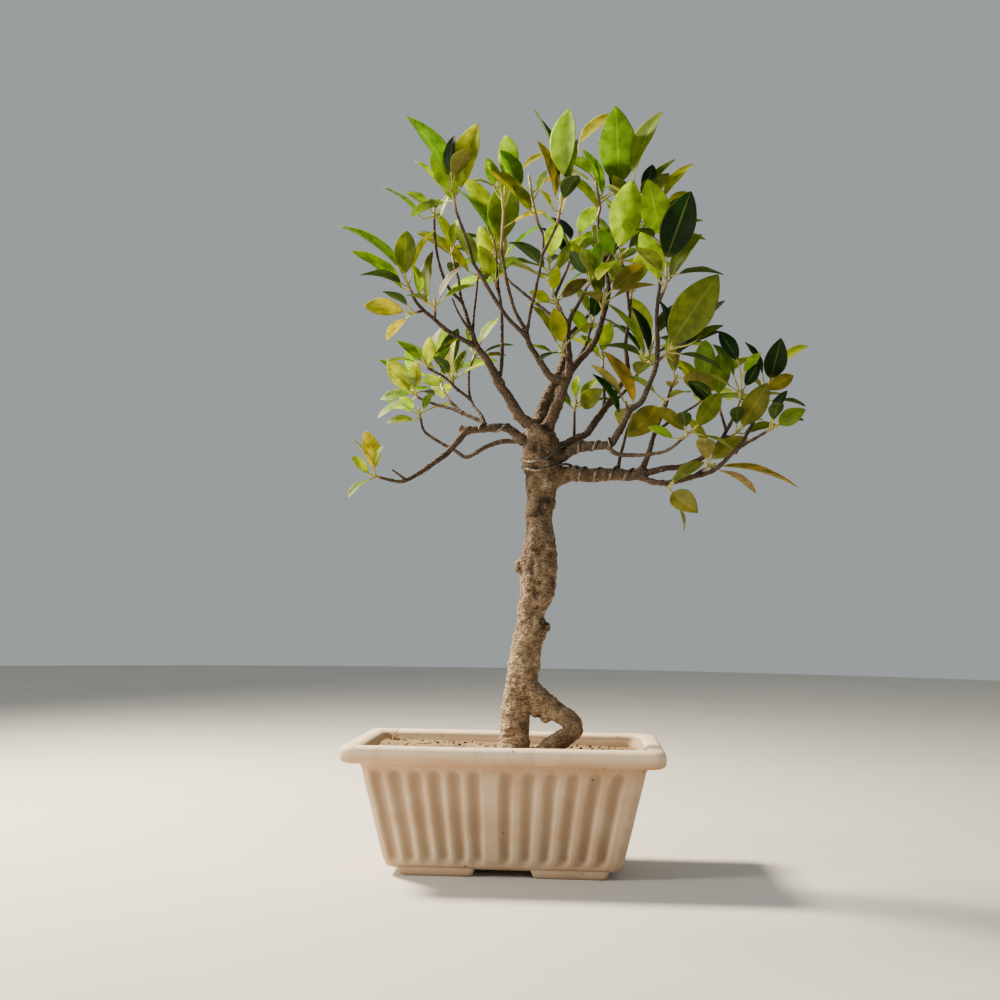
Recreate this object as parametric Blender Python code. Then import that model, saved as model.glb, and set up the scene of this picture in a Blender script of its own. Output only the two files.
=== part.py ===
# Bonsai tree in a ribbed ceramic pot. Sizes are in millimetres and turned to metres when a mesh is made.
# X runs along the pot, -Y is the front that the tree is shown from, and Z = 0 is the table under the feet.
import math
import random

import bmesh
import bpy
from mathutils import Vector
from mathutils.bvhtree import BVHTree

MM = 0.001

# Pot
RIM_LENGTH = 220.0
RIM_WIDTH = 136.0
POT_HEIGHT = 90.0
RIM_HEIGHT = 12.0
RIM_OVERHANG = 12.0
BODY_INSET = 16.5          # how far each wall leans in from the rim down to the base
FOOT_HEIGHT = 5.0
FOOT_SIZE = (49.0, 15.0)
FOOT_CENTRE = (46.0, 29.0)
LIP_WIDTH = 13.5
FLOOR_THICKNESS = 6.0
RIM_CORNER = 9.0
BODY_CORNER = 7.5
CAVITY_CORNER = 7.5
LIP_ROUND = 3.5
BASE_ROUND = 5.0
FLUTES_LEFT = (-19.5, -13.6, 6)    # first place, step and count of the front flutes, by group
FLUTE_MIDDLE = (2.5, 0.0, 1)
FLUTES_RIGHT = (18.5, 15.2, 5)
FLUTES_END = (-29.2, 14.6, 5)
FLUTE_RADIUS = 4.6
FLUTE_DEPTH = 1.9
FLUTE_TOP = 73.0
DRAIN_RADIUS = 6.0
DRAIN_SPACING = 80.0

# Soil
SOIL_LEVEL = 82.0
SOIL_SLOPE = 0.018         # the soil stands higher at the left end
SOIL_MOUND = 1.6

# Gaps and thin things
GAP = 0.35
LEAF_THICKNESS = 0.6
PETIOLE_WIDTH = 1.3
PETIOLE_SHORTEST = 4.0
LEAF_SLENDERNESS = 0.42    # full width over full length of a blade
DROOP = 0.5                # how far a blade bends from foot to tip, in radians
LENGTH_GAIN = 1.05         # what the bend and the fold take from the seen size is given back
WIDTH_GAIN = 1.13
WIRE_RADIUS = 1.0
WIRE_GAP = 0.8
WIRE_STEPS = 12            # points to a turn

BODY_TOP = POT_HEIGHT - RIM_HEIGHT
BODY_LENGTH = RIM_LENGTH - 2 * RIM_OVERHANG
BODY_WIDTH = RIM_WIDTH - 2 * RIM_OVERHANG
BASE_LENGTH = BODY_LENGTH - 2 * BODY_INSET
BASE_WIDTH = BODY_WIDTH - 2 * BODY_INSET

for old in list(bpy.data.objects):
    bpy.data.objects.remove(old, do_unlink=True)

parts = bpy.data.collections.new("bonsai_tree")
bpy.context.scene.collection.children.link(parts)


# ---------------------------------------------------------------- helpers

def material(name, colour, roughness, metallic=0.0):
    made = bpy.data.materials.new(name)
    made.use_nodes = True
    shader = made.node_tree.nodes["Principled BSDF"]
    shader.inputs["Base Color"].default_value = (*colour, 1.0)
    shader.inputs["Roughness"].default_value = roughness
    shader.inputs["Metallic"].default_value = metallic
    return made


def mesh_object(name, bm, collection, finish=None):
    mesh = bpy.data.meshes.new(name)
    bm.to_mesh(mesh)
    bm.free()
    made = bpy.data.objects.new(name, mesh)
    collection.objects.link(made)
    if finish:
        mesh.materials.append(finish)
    return made


def freeze(made):
    """Replace an object's mesh by its evaluated mesh and drop its modifiers."""
    bpy.context.view_layer.update()
    graph = bpy.context.evaluated_depsgraph_get()
    mesh = bpy.data.meshes.new_from_object(made.evaluated_get(graph))
    made.modifiers.clear()
    old = made.data
    made.data = mesh
    bpy.data.meshes.remove(old)
    return made


def combine(made, other, operation, solver="EXACT"):
    step = made.modifiers.new(operation.lower(), "BOOLEAN")
    step.operation = operation
    step.solver = solver
    step.object = other
    freeze(made)
    bpy.data.objects.remove(other, do_unlink=True)
    return made


def tapered_box(name, top, bottom, z_top, z_bottom, corner, steps=3):
    """A box whose top and bottom are rectangles of different sizes, with rounded upright corners."""
    bm = bmesh.new()
    bmesh.ops.create_cube(bm, size=1.0)
    for vert in bm.verts:
        length, width = top if vert.co.z > 0 else bottom
        z = z_top if vert.co.z > 0 else z_bottom
        vert.co = Vector((vert.co.x * length, vert.co.y * width, z)) * MM
    upright = [edge for edge in bm.edges if abs(edge.verts[0].co.z - edge.verts[1].co.z) > 1e-6]
    bmesh.ops.bevel(bm, geom=upright, offset=corner * MM, segments=steps, profile=0.5, affect="EDGES")
    return mesh_object(name, bm, parts)


def round_edges(made, height, radius, steps=2):
    """Bevel the ring of edges that lies at one height."""
    bm = bmesh.new()
    bm.from_mesh(made.data)
    ring = [edge for edge in bm.edges if all(abs(v.co.z - height * MM) < 1e-6 for v in edge.verts)]
    bmesh.ops.bevel(bm, geom=ring, offset=radius * MM, segments=steps, profile=0.5, affect="EDGES")
    bm.to_mesh(made.data)
    bm.free()


def tube(name, route, radii, sides=6, finish=None):
    """A closed tube through the points of a route, as a bevelled curve turned into a mesh."""
    curve = bpy.data.curves.new(name, "CURVE")
    curve.dimensions = "3D"
    curve.bevel_depth = MM
    curve.bevel_resolution = (sides - 4) // 2
    curve.use_fill_caps = True
    spline = curve.splines.new("POLY")
    spline.points.add(len(route) - 1)
    for point, place, radius in zip(spline.points, route, radii):
        point.co = (*(Vector(place) * MM), 1.0)
        point.radius = radius
    drawn = bpy.data.objects.new(name + "_curve", curve)
    parts.objects.link(drawn)
    bpy.context.view_layer.update()
    graph = bpy.context.evaluated_depsgraph_get()
    mesh = bpy.data.meshes.new_from_object(drawn.evaluated_get(graph))
    bm = bmesh.new()
    bm.from_mesh(mesh)
    bmesh.ops.remove_doubles(bm, verts=bm.verts, dist=1e-6)
    bmesh.ops.recalc_face_normals(bm, faces=bm.faces)
    bm.to_mesh(mesh)
    bm.free()
    mesh.name = name
    made = bpy.data.objects.new(name, mesh)
    made.matrix_world = drawn.matrix_world
    parts.objects.link(made)
    bpy.data.objects.remove(drawn, do_unlink=True)
    mesh.materials.clear()
    if finish:
        mesh.materials.append(finish)
    mesh.shade_smooth()
    return made


def taper(count, first, last):
    return [first + (last - first) * i / (count - 1) for i in range(count)]


def tree_of(made):
    bm = bmesh.new()
    bm.from_mesh(made.data)
    found = BVHTree.FromBMesh(bm)
    bm.free()
    return found


# ---------------------------------------------------------------- pot

def flute_places(*groups):
    return [first + step * i for first, step, count in groups for i in range(count)]


def flute_cutters(places, half_top, half_base, along_x):
    """One bar with a round top for each flute, leaning with the wall and just biting into it."""
    rise = FLUTE_TOP - FOOT_HEIGHT
    shrink = BASE_LENGTH / BODY_LENGTH
    slope = (half_top - half_base) / (BODY_TOP - FOOT_HEIGHT)
    proud = FLUTE_RADIUS - FLUTE_DEPTH
    made = []
    for side in (-1, 1):
        for place in places:
            top_out = half_top - slope * (BODY_TOP - FLUTE_TOP) + proud
            base_out = half_base - slope * BASE_ROUND + proud
            route = []
            for out, z, across in ((top_out + 4.0, FLUTE_TOP + 5.5, place),
                                   (top_out, FLUTE_TOP - 3.0, place),
                                   (base_out, FOOT_HEIGHT - rise * 0.07, place * shrink)):
                route.append((across, side * out, z) if along_x else (side * out, across, z))
            bar = tube("flute", route, [FLUTE_RADIUS * 0.8, FLUTE_RADIUS, FLUTE_RADIUS * 0.85], sides=10)
            made.append(bar)
    return made


def make_pot(finish):
    pot = tapered_box("pot", (BODY_LENGTH, BODY_WIDTH), (BASE_LENGTH, BASE_WIDTH),
                      BODY_TOP + 1.0, FOOT_HEIGHT, BODY_CORNER)
    round_edges(pot, FOOT_HEIGHT, BASE_ROUND)
    front = flute_places(FLUTES_LEFT, FLUTE_MIDDLE, FLUTES_RIGHT)
    for bar in flute_cutters(front, BODY_WIDTH / 2, BASE_WIDTH / 2, True):
        combine(pot, bar, "DIFFERENCE")
    for bar in flute_cutters(flute_places(FLUTES_END), BODY_LENGTH / 2, BASE_LENGTH / 2, False):
        combine(pot, bar, "DIFFERENCE")
    rim = tapered_box("rim", (RIM_LENGTH, RIM_WIDTH), (RIM_LENGTH - 3, RIM_WIDTH - 3),
                      POT_HEIGHT, BODY_TOP, RIM_CORNER, 4)
    round_edges(rim, POT_HEIGHT, LIP_ROUND, 3)
    round_edges(rim, BODY_TOP, LIP_ROUND, 2)
    combine(pot, rim, "UNION")
    for side_x in (-1, 1):
        for side_y in (-1, 1):
            foot = tapered_box("foot", (FOOT_SIZE[0] + 6, FOOT_SIZE[1] + 4), FOOT_SIZE,
                               FOOT_HEIGHT + 1.0, 0.0, 3.0, 2)
            foot.location = Vector((side_x * FOOT_CENTRE[0], side_y * FOOT_CENTRE[1], 0)) * MM
            combine(pot, foot, "UNION")
    combine(pot, cavity("cavity", 0.0), "DIFFERENCE")
    for side in (-1, 1):
        bm = bmesh.new()
        bmesh.ops.create_cone(bm, cap_ends=True, segments=16, radius1=DRAIN_RADIUS * MM,
                              radius2=DRAIN_RADIUS * MM, depth=4 * FLOOR_THICKNESS * MM)
        hole = mesh_object("drain", bm, parts)
        hole.location = Vector((side * DRAIN_SPACING / 2, 0, FOOT_HEIGHT)) * MM
        combine(pot, hole, "DIFFERENCE")
    pot.data.materials.clear()
    pot.data.materials.append(finish)
    return pot


def cavity(name, shrink):
    """The space inside the pot, or the same shape a little smaller for what fills it."""
    lip = 2 * LIP_WIDTH
    slope = BODY_INSET / (BODY_TOP - FOOT_HEIGHT)
    floor = FOOT_HEIGHT + FLOOR_THICKNESS + shrink
    top = POT_HEIGHT + 4.0
    reach = 2 * slope * (top - POT_HEIGHT) - 2 * shrink
    drop = 2 * slope * (POT_HEIGHT - floor) + 2 * shrink
    upper = (RIM_LENGTH - lip + reach, RIM_WIDTH - lip + reach)
    lower = (RIM_LENGTH - lip - drop, RIM_WIDTH - lip - drop)
    return tapered_box(name, upper, lower, top, floor, CAVITY_CORNER)


# ---------------------------------------------------------------- wood

# Trunk: (x, y, z, radius) from below the soil to the fork.
TRUNK = [
    (5, 0, 62, 8), (5, 0, 74, 11.5), (5, 0, 84, 11), (6, 0, 107, 10.2), (10, 0, 131, 11.3),
    (13, 0, 157, 10.4), (16, 0, 170, 11.0), (16, 0, 182, 9.7), (20, 0, 196, 12.2), (21, 0, 215, 13.6),
    (22, 0, 231, 12.2), (21, 0, 245, 10), (22, 0, 260, 10.6), (22, 0, 273, 11.6), (23, 0, 285, 13.6),
    (22, 0, 300, 13), (21, 0, 312, 11), (21, 0, 318, 7),
]

# The prop root leaves the trunk, bends out and doubles back into the soil in front.
PROP_ROOT = [
    (11, 0, 128, 9), (20, -1, 121, 8.6), (32, -3, 113, 7.6), (43, -7, 106, 6.8), (48, -10, 99, 6.5),
    (41, -13, 93, 6.4), (32, -14, 88, 6.0), (25, -13, 82, 5.8), (18, -12, 70, 5.0),
]

# Knots: centre, radius, and how much each is flattened upright.
KNOTS = [
    ((7, -2, 214), 4.2, 1.2), ((27, -3, 171), 4.0, 1.1), ((29, -3, 258), 3.6, 1.4), ((31, -2, 300), 5.5, 1.0),
    ((-8, -5, 348), 3.4, 1.1), ((14, -3, 245), 3.0, 1.5), ((36, 0, 342), 5.0, 1.3), ((13, 4, 309), 6.0, 0.9),
    ((21, -2, 112), 6.0, 1.0), ((28, -4, 107), 4.6, 1.0),
]

# Branches: first and last radius, then the points of the route. Each starts inside the wood it grows from.
BRANCHES = {
    "left_riser": (4.6, 2.0, [(20, 0, 309), (15, -1, 317), (6, -2, 324), (-3, -4, 339), (-9, -5, 347),
                              (-12, -6, 354), (-19, -8, 366), (-24, -8, 372), (-27, -9, 377), (-30, -10, 386)]),
    "left_arm": (2.0, 1.2, [(-25, -9, 374), (-38, -13, 380), (-49, -18, 386), (-56, -21, 392), (-65, -25, 399),
                            (-70, -28, 405), (-72, -30, 410)]),
    "left_arm_twig": (1.1, 1.0, [(-56, -22, 391), (-55, -27, 397)]),
    "left_leader": (1.8, 1.1, [(-30, -10, 384), (-35, -6, 401), (-39, -3, 412), (-41, 0, 426), (-45, 4, 440)]),
    "left_spur": (1.2, 1.0, [(-37, -5, 408), (-47, -8, 418), (-52, -10, 428), (-56, -12, 442), (-58, -15, 458),
                             (-58, -18, 468)]),
    "dead_twig": (1.0, 0.6, [(-31, -10, 386), (-39, -13, 398), (-44, -16, 409)]),
    "pale_twig": (1.1, 0.9, [(-29, -9, 384), (-29, -4, 399), (-28, 4, 418), (-28, 9, 428)]),
    "left_upright": (1.7, 1.1, [(-10, -4, 349), (-8, -2, 362), (-8, 1, 378), (-9, 4, 404), (-12, 8, 424),
                                (-14, 12, 446)]),
    "old_stem": (6.0, 3.6, [(18, 4, 308), (22, 9, 328), (27, 13, 342), (34, 17, 358)]),
    "middle_riser": (5.0, 2.6, [(22, 0, 308), (29, -2, 322), (35, -4, 336), (39, -5, 347), (43, -6, 358)]),
    "front_riser": (3.0, 1.9, [(40, -5, 350), (29, -8, 352), (22, -12, 361), (17, -17, 368), (13, -21, 374),
                               (11, -25, 381)]),
    "front_left": (1.8, 1.1, [(11, -25, 379), (4, -27, 385), (-3, -29, 392), (-8, -31, 399), (-14, -33, 408),
                              (-19, -36, 416), (-23, -37, 423), (-27, -39, 429), (-30, -42, 440),
                              (-34, -44, 451), (-39, -48, 464)]),
    "front_middle": (1.4, 1.0, [(10, -25, 384), (3, -29, 396), (0, -32, 405), (-3, -34, 416), (-5, -37, 427),
                                (-7, -40, 438)]),
    "front_right": (1.5, 1.0, [(11, -24, 379), (14, -29, 396), (18, -34, 412), (22, -39, 432), (23, -42, 446),
                               (19, -45, 456)]),
    "front_right_twig": (1.1, 0.9, [(22, -40, 434), (28, -45, 444), (33, -49, 454)]),
    "centre_riser": (2.6, 1.2, [(42, -6, 356), (42, -8, 366), (41, -8, 380), (42, -9, 394), (48, -9, 406),
                                (54, -10, 418)]),
    "centre_twig": (1.2, 0.9, [(41, -9, 392), (37, -5, 399), (35, -1, 405)]),
    "centre_spur": (1.1, 0.9, [(42, -7, 362), (39, -13, 367)]),
    "back_riser": (2.8, 1.1, [(40, -3, 354), (48, 4, 366), (58, 9, 378), (63, 12, 389), (67, 16, 404),
                              (71, 22, 425), (67, 29, 448), (63, 36, 474), (63, 39, 488)]),
    "back_riser_twig": (1.3, 0.9, [(46, 2, 364), (54, 11, 380), (56, 15, 388), (58, 19, 395)]),
    "right_peak_twig": (1.3, 1.0, [(68, 27, 442), (78, 22, 464), (88, 14, 482)]),
    "right_riser": (3.2, 1.2, [(26, 0, 298), (36, 2, 302), (46, 4, 308), (55, 7, 313), (62, 9, 323),
                               (68, 12, 332), (77, 15, 346), (85, 19, 360), (85, 21, 371), (84, 24, 384),
                               (87, 29, 406), (88, 32, 420)]),
    "right_front_twig": (1.1, 0.9, [(87, 30, 412), (84, 14, 426), (80, -8, 437)]),
    "inner_upright": (1.2, 0.9, [(68, 14, 334), (68, 20, 350), (67, 23, 366)]),
    "fork_sprout": (1.1, 0.9, [(46, 4, 306), (46, 10, 320), (46, 13, 330)]),
    "second_right": (4.4, 2.6, [(24, -1, 294), (36, -2, 294), (46, -4, 300), (56, -6, 302), (65, -8, 302),
                                (73, -9, 304), (79, -12, 314)]),
    "second_right_riser": (2.4, 1.1, [(78, -11, 311), (82, -13, 319), (86, -14, 327), (94, -16, 333),
                                      (99, -19, 344), (104, -22, 358), (105, -25, 374), (104, -28, 394),
                                      (106, -33, 416), (106, -38, 440)]),
    "right_big_twig": (1.2, 1.0, [(104, -23, 360), (109, -28, 364)]),
    "right_knee_twig": (1.1, 0.9, [(86, -14, 326), (85, -3, 330)]),
    "second_right_arm": (1.9, 1.1, [(70, -9, 302), (76, -19, 295), (88, -26, 293), (99, -31, 293),
                                    (111, -38, 295), (121, -46, 302)]),
    "lowest_right": (6.4, 3.2, [(24, 0, 279), (36, -2, 280), (43, -4, 282), (56, -6, 281), (69, -9, 281),
                                (79, -10, 281), (88, -12, 280), (96, -14, 285)]),
    "lowest_twig": (1.3, 0.8, [(78, -9, 281), (79, -4, 292), (82, 0, 304), (85, 3, 316), (90, 6, 328)]),
    "lowest_riser": (2.2, 1.1, [(95, -13, 284), (100, -10, 297), (103, -6, 308), (108, 0, 322),
                                (113, 6, 334), (118, 12, 350)]),
    "outer_right": (2.6, 1.2, [(90, -12, 280), (103, -15, 283), (112, -17, 285), (123, -19, 286),
                               (137, -23, 292), (147, -26, 301), (154, -29, 312), (160, -32, 325)]),
    "under_right": (2.4, 1.2, [(92, -13, 280), (102, -18, 275), (113, -23, 274), (128, -30, 277),
                               (144, -37, 282), (158, -46, 295), (170, -53, 302), (177, -57, 306)]),
    "edge_twig": (1.3, 1.0, [(157, -45, 293), (168, -38, 310), (177, -28, 328)]),
    "under_twig": (1.2, 1.0, [(127, -30, 276), (136, -34, 282)]),
    "hanging_twig": (1.1, 1.0, [(109, -21, 275), (112, -26, 271)]),
    "left_low": (3.6, 1.2, [(20, -2, 302), (8, -6, 307), (0, -8, 313), (-8, -10, 315), (-20, -13, 313),
                            (-31, -16, 311), (-36, -19, 305), (-45, -23, 294), (-54, -28, 286), (-64, -32, 278),
                            (-75, -36, 272), (-85, -39, 273), (-90, -42, 274)]),
    "left_low_stub": (2.6, 2.4, [(-30, -16, 311), (-37, -15, 313)]),
    "left_dead_twig": (0.9, 0.6, [(-72, -35, 273), (-82, -38, 280)]),
    "left_back": (1.7, 1.1, [(-17, -11, 314), (-22, -2, 320), (-31, 5, 325), (-45, 15, 332), (-59, 25, 337),
                             (-74, 35, 344)]),
    "left_middle": (1.6, 1.1, [(-18, -11, 314), (-22, -6, 324), (-28, 1, 332), (-32, 6, 340)]),
    "left_middle_inner": (1.1, 0.9, [(-32, 6, 339), (-33, 9, 350), (-33, 11, 360), (-31, 14, 368)]),
    "left_middle_outer": (1.2, 0.9, [(-31, 5, 338), (-41, 2, 345), (-50, -2, 353), (-62, -6, 359)]),
    "left_middle_twig": (1.0, 0.9, [(-40, 2, 344), (-44, 2, 348)]),
    "left_under": (2.2, 1.1, [(20, 3, 304), (6, 8, 307), (-8, 10, 307), (-20, 12, 303), (-34, 16, 296),
                              (-43, 18, 301), (-54, 21, 307), (-67, 24, 316), (-71, 27, 327)]),
    "left_upright_twig": (1.1, 0.9, [(-11, 7, 419), (-13, 4, 423)]),
    "left_arm_low_twig": (1.1, 0.9, [(-64, -24, 398), (-68, -26, 396)]),
    "back_riser_front_twig": (1.2, 0.9, [(67, 16, 402), (66, 8, 402)]),
    "right_dark_twig": (1.3, 1.0, [(105, -30, 402), (108, -35, 408)]),
    "right_long_twig": (1.1, 0.9, [(105, -23, 358), (101, -19, 360)]),
    "lower_middle_twig": (1.1, 0.9, [(153, -28, 311), (150, -22, 324)]),
    "lower_khaki_twig": (1.1, 0.9, [(112, 6, 332), (112, 1, 335)]),
    "lower_big_twig": (1.2, 0.9, [(151, -27, 306), (156, -33, 306)]),
    "rear_riser": (3.4, 1.6, [(33, 16, 356), (38, 36, 380), (36, 54, 408), (28, 66, 434)]),
    "rear_right": (1.8, 1.1, [(37, 44, 392), (54, 60, 412), (70, 72, 438)]),
    "rear_left": (1.8, 1.1, [(36, 53, 406), (16, 64, 424), (-6, 72, 444)]),
    "rear_far_right": (1.8, 1.1, [(67, 12, 331), (84, 38, 350), (98, 58, 372)]),
    "rear_low_right": (1.5, 1.0, [(104, -5, 312), (122, 22, 328), (138, 42, 340)]),
    "rear_low_left": (1.3, 1.0, [(-37, 9, 328), (-48, 32, 340), (-56, 50, 352)]),
    "rear_peak": (1.4, 1.0, [(29, 64, 430), (38, 76, 454)]),
    "rear_right_peak": (1.3, 1.0, [(66, 30, 450), (84, 48, 470)]),
}


def make_trunk(grow, finish):
    route = [row[:3] for row in TRUNK]
    radii = [row[3] + grow for row in TRUNK]
    trunk = tube("tree", route, radii, sides=12, finish=finish)
    root = tube("prop_root", [row[:3] for row in PROP_ROOT], [row[3] + grow for row in PROP_ROOT], sides=10)
    return combine(trunk, root, "UNION")


def make_tree(finish):
    """Trunk, prop root, knots and branches united into one grown piece."""
    tree = make_trunk(0.0, finish)
    for centre, radius, stretch in KNOTS:
        bm = bmesh.new()
        bmesh.ops.create_icosphere(bm, subdivisions=1, radius=radius * MM)
        bmesh.ops.scale(bm, vec=(1, 1, stretch), verts=bm.verts)
        knot = mesh_object("knot", bm, parts)
        knot.location = Vector(centre) * MM
        combine(tree, knot, "UNION")
    for name, (first, last, route) in BRANCHES.items():
        sides = 8 if first > 3 else 6 if first > 1.3 else 4
        branch = tube(name, route, taper(len(route), first, last), sides=sides)
        combine(tree, branch, "UNION")
    tree.data.materials.clear()
    tree.data.materials.append(finish)
    return tree


# ---------------------------------------------------------------- soil

def soil_height(x, y):
    mound = SOIL_MOUND * math.exp(-((x - 5) ** 2 + y ** 2) / 900.0)
    ripple = 0.7 * math.sin(x / 13.0) * math.cos(y / 11.0)
    return SOIL_LEVEL - SOIL_SLOPE * x + mound + ripple


def make_soil(finish):
    bm = bmesh.new()
    bmesh.ops.create_grid(bm, x_segments=14, y_segments=9, size=0.5)
    for vert in bm.verts:
        x = vert.co.x * RIM_LENGTH
        y = vert.co.y * RIM_WIDTH
        vert.co = Vector((x, y, soil_height(x, y))) * MM
    lower = bmesh.ops.extrude_face_region(bm, geom=bm.faces[:])["geom"]
    for vert in lower:
        if isinstance(vert, bmesh.types.BMVert):
            vert.co.z = 0.0
    bmesh.ops.recalc_face_normals(bm, faces=bm.faces)
    soil = mesh_object("soil", bm, parts, finish)
    combine(soil, cavity("fill", GAP), "INTERSECT")
    combine(soil, make_trunk(GAP, None), "DIFFERENCE")
    soil.data.materials.clear()
    soil.data.materials.append(finish)
    return soil


# ---------------------------------------------------------------- training wire

def along(route, share):
    """The point and the direction at a share of a route's length."""
    points = [Vector(point) for point in route]
    lengths = [(b - a).length for a, b in zip(points, points[1:])]
    left = share * sum(lengths)
    for a, b, length in zip(points, points[1:], lengths):
        if left <= length:
            return a.lerp(b, left / length), (b - a).normalized()
        left -= length
    return points[-1], (points[-1] - points[-2]).normalized()


def coil_about(route, first, last, turns, radius):
    """Points of a coil about a stretch of a branch, starting on top and going over to the back."""
    steps = round(turns * WIRE_STEPS)
    points = []
    for i in range(steps + 1):
        centre, ahead = along(route, first + (last - first) * i / steps)
        side = ahead.cross(Vector((0, 1, 0))).normalized()
        other = ahead.cross(side).normalized()
        angle = -2 * math.pi * turns * i / steps
        points.append(centre + (side * math.cos(angle) + other * math.sin(angle)) * radius)
    return points


def lay_on_bark(bark, guide):
    """Move each point of a wire so that the wire lies on the wood, with a hair's gap."""
    laid = []
    for point in guide:
        surface, normal, _, _ = bark.find_nearest(Vector(point) * MM)
        laid.append(surface / MM + normal * (WIRE_RADIUS + WIRE_GAP))
    return laid


# Each wire: the points it takes round the trunk, the branch it then winds along, the stretch of that
# branch as shares of its length, the turns and the coil's radius.
WIRES = {
    "wire_lowest_branch": ([(14, 12, 289), (8, 8, 288), (6, 0, 286), (9, -9, 284), (16, -14, 283),
                            (24, -15, 284), (32, -12, 286), (38, -7, 289)],
                           "lowest_right", 0.27, 0.86, 4.0, 8.0),
    "wire_second_branch": ([(14, 13, 296), (8, 9, 295), (6, 1, 293), (9, -9, 290), (16, -14, 289),
                            (24, -14, 291), (31, -9, 296)],
                           "second_right", 0.30, 0.86, 3.0, 6.0),
    "wire_left_branch": ([(16, 15, 304), (9, 8, 304), (7, 2, 303), (5, -5, 304)],
                         "left_low", 0.13, 0.36, 1.75, 5.0),
}


def make_wires(tree, finish):
    bark = tree_of(tree)
    for name, (round_trunk, branch, first, last, turns, radius) in WIRES.items():
        guide = round_trunk + coil_about(BRANCHES[branch][2], first, last, turns, radius)
        route = lay_on_bark(bark, guide)
        tube(name, route, [WIRE_RADIUS] * len(route), sides=6, finish=finish)
        bite = tube("bite", route, [WIRE_RADIUS + GAP] * len(route), sides=6)
        combine(tree, bite, "DIFFERENCE")


# ---------------------------------------------------------------- leaves

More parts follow.
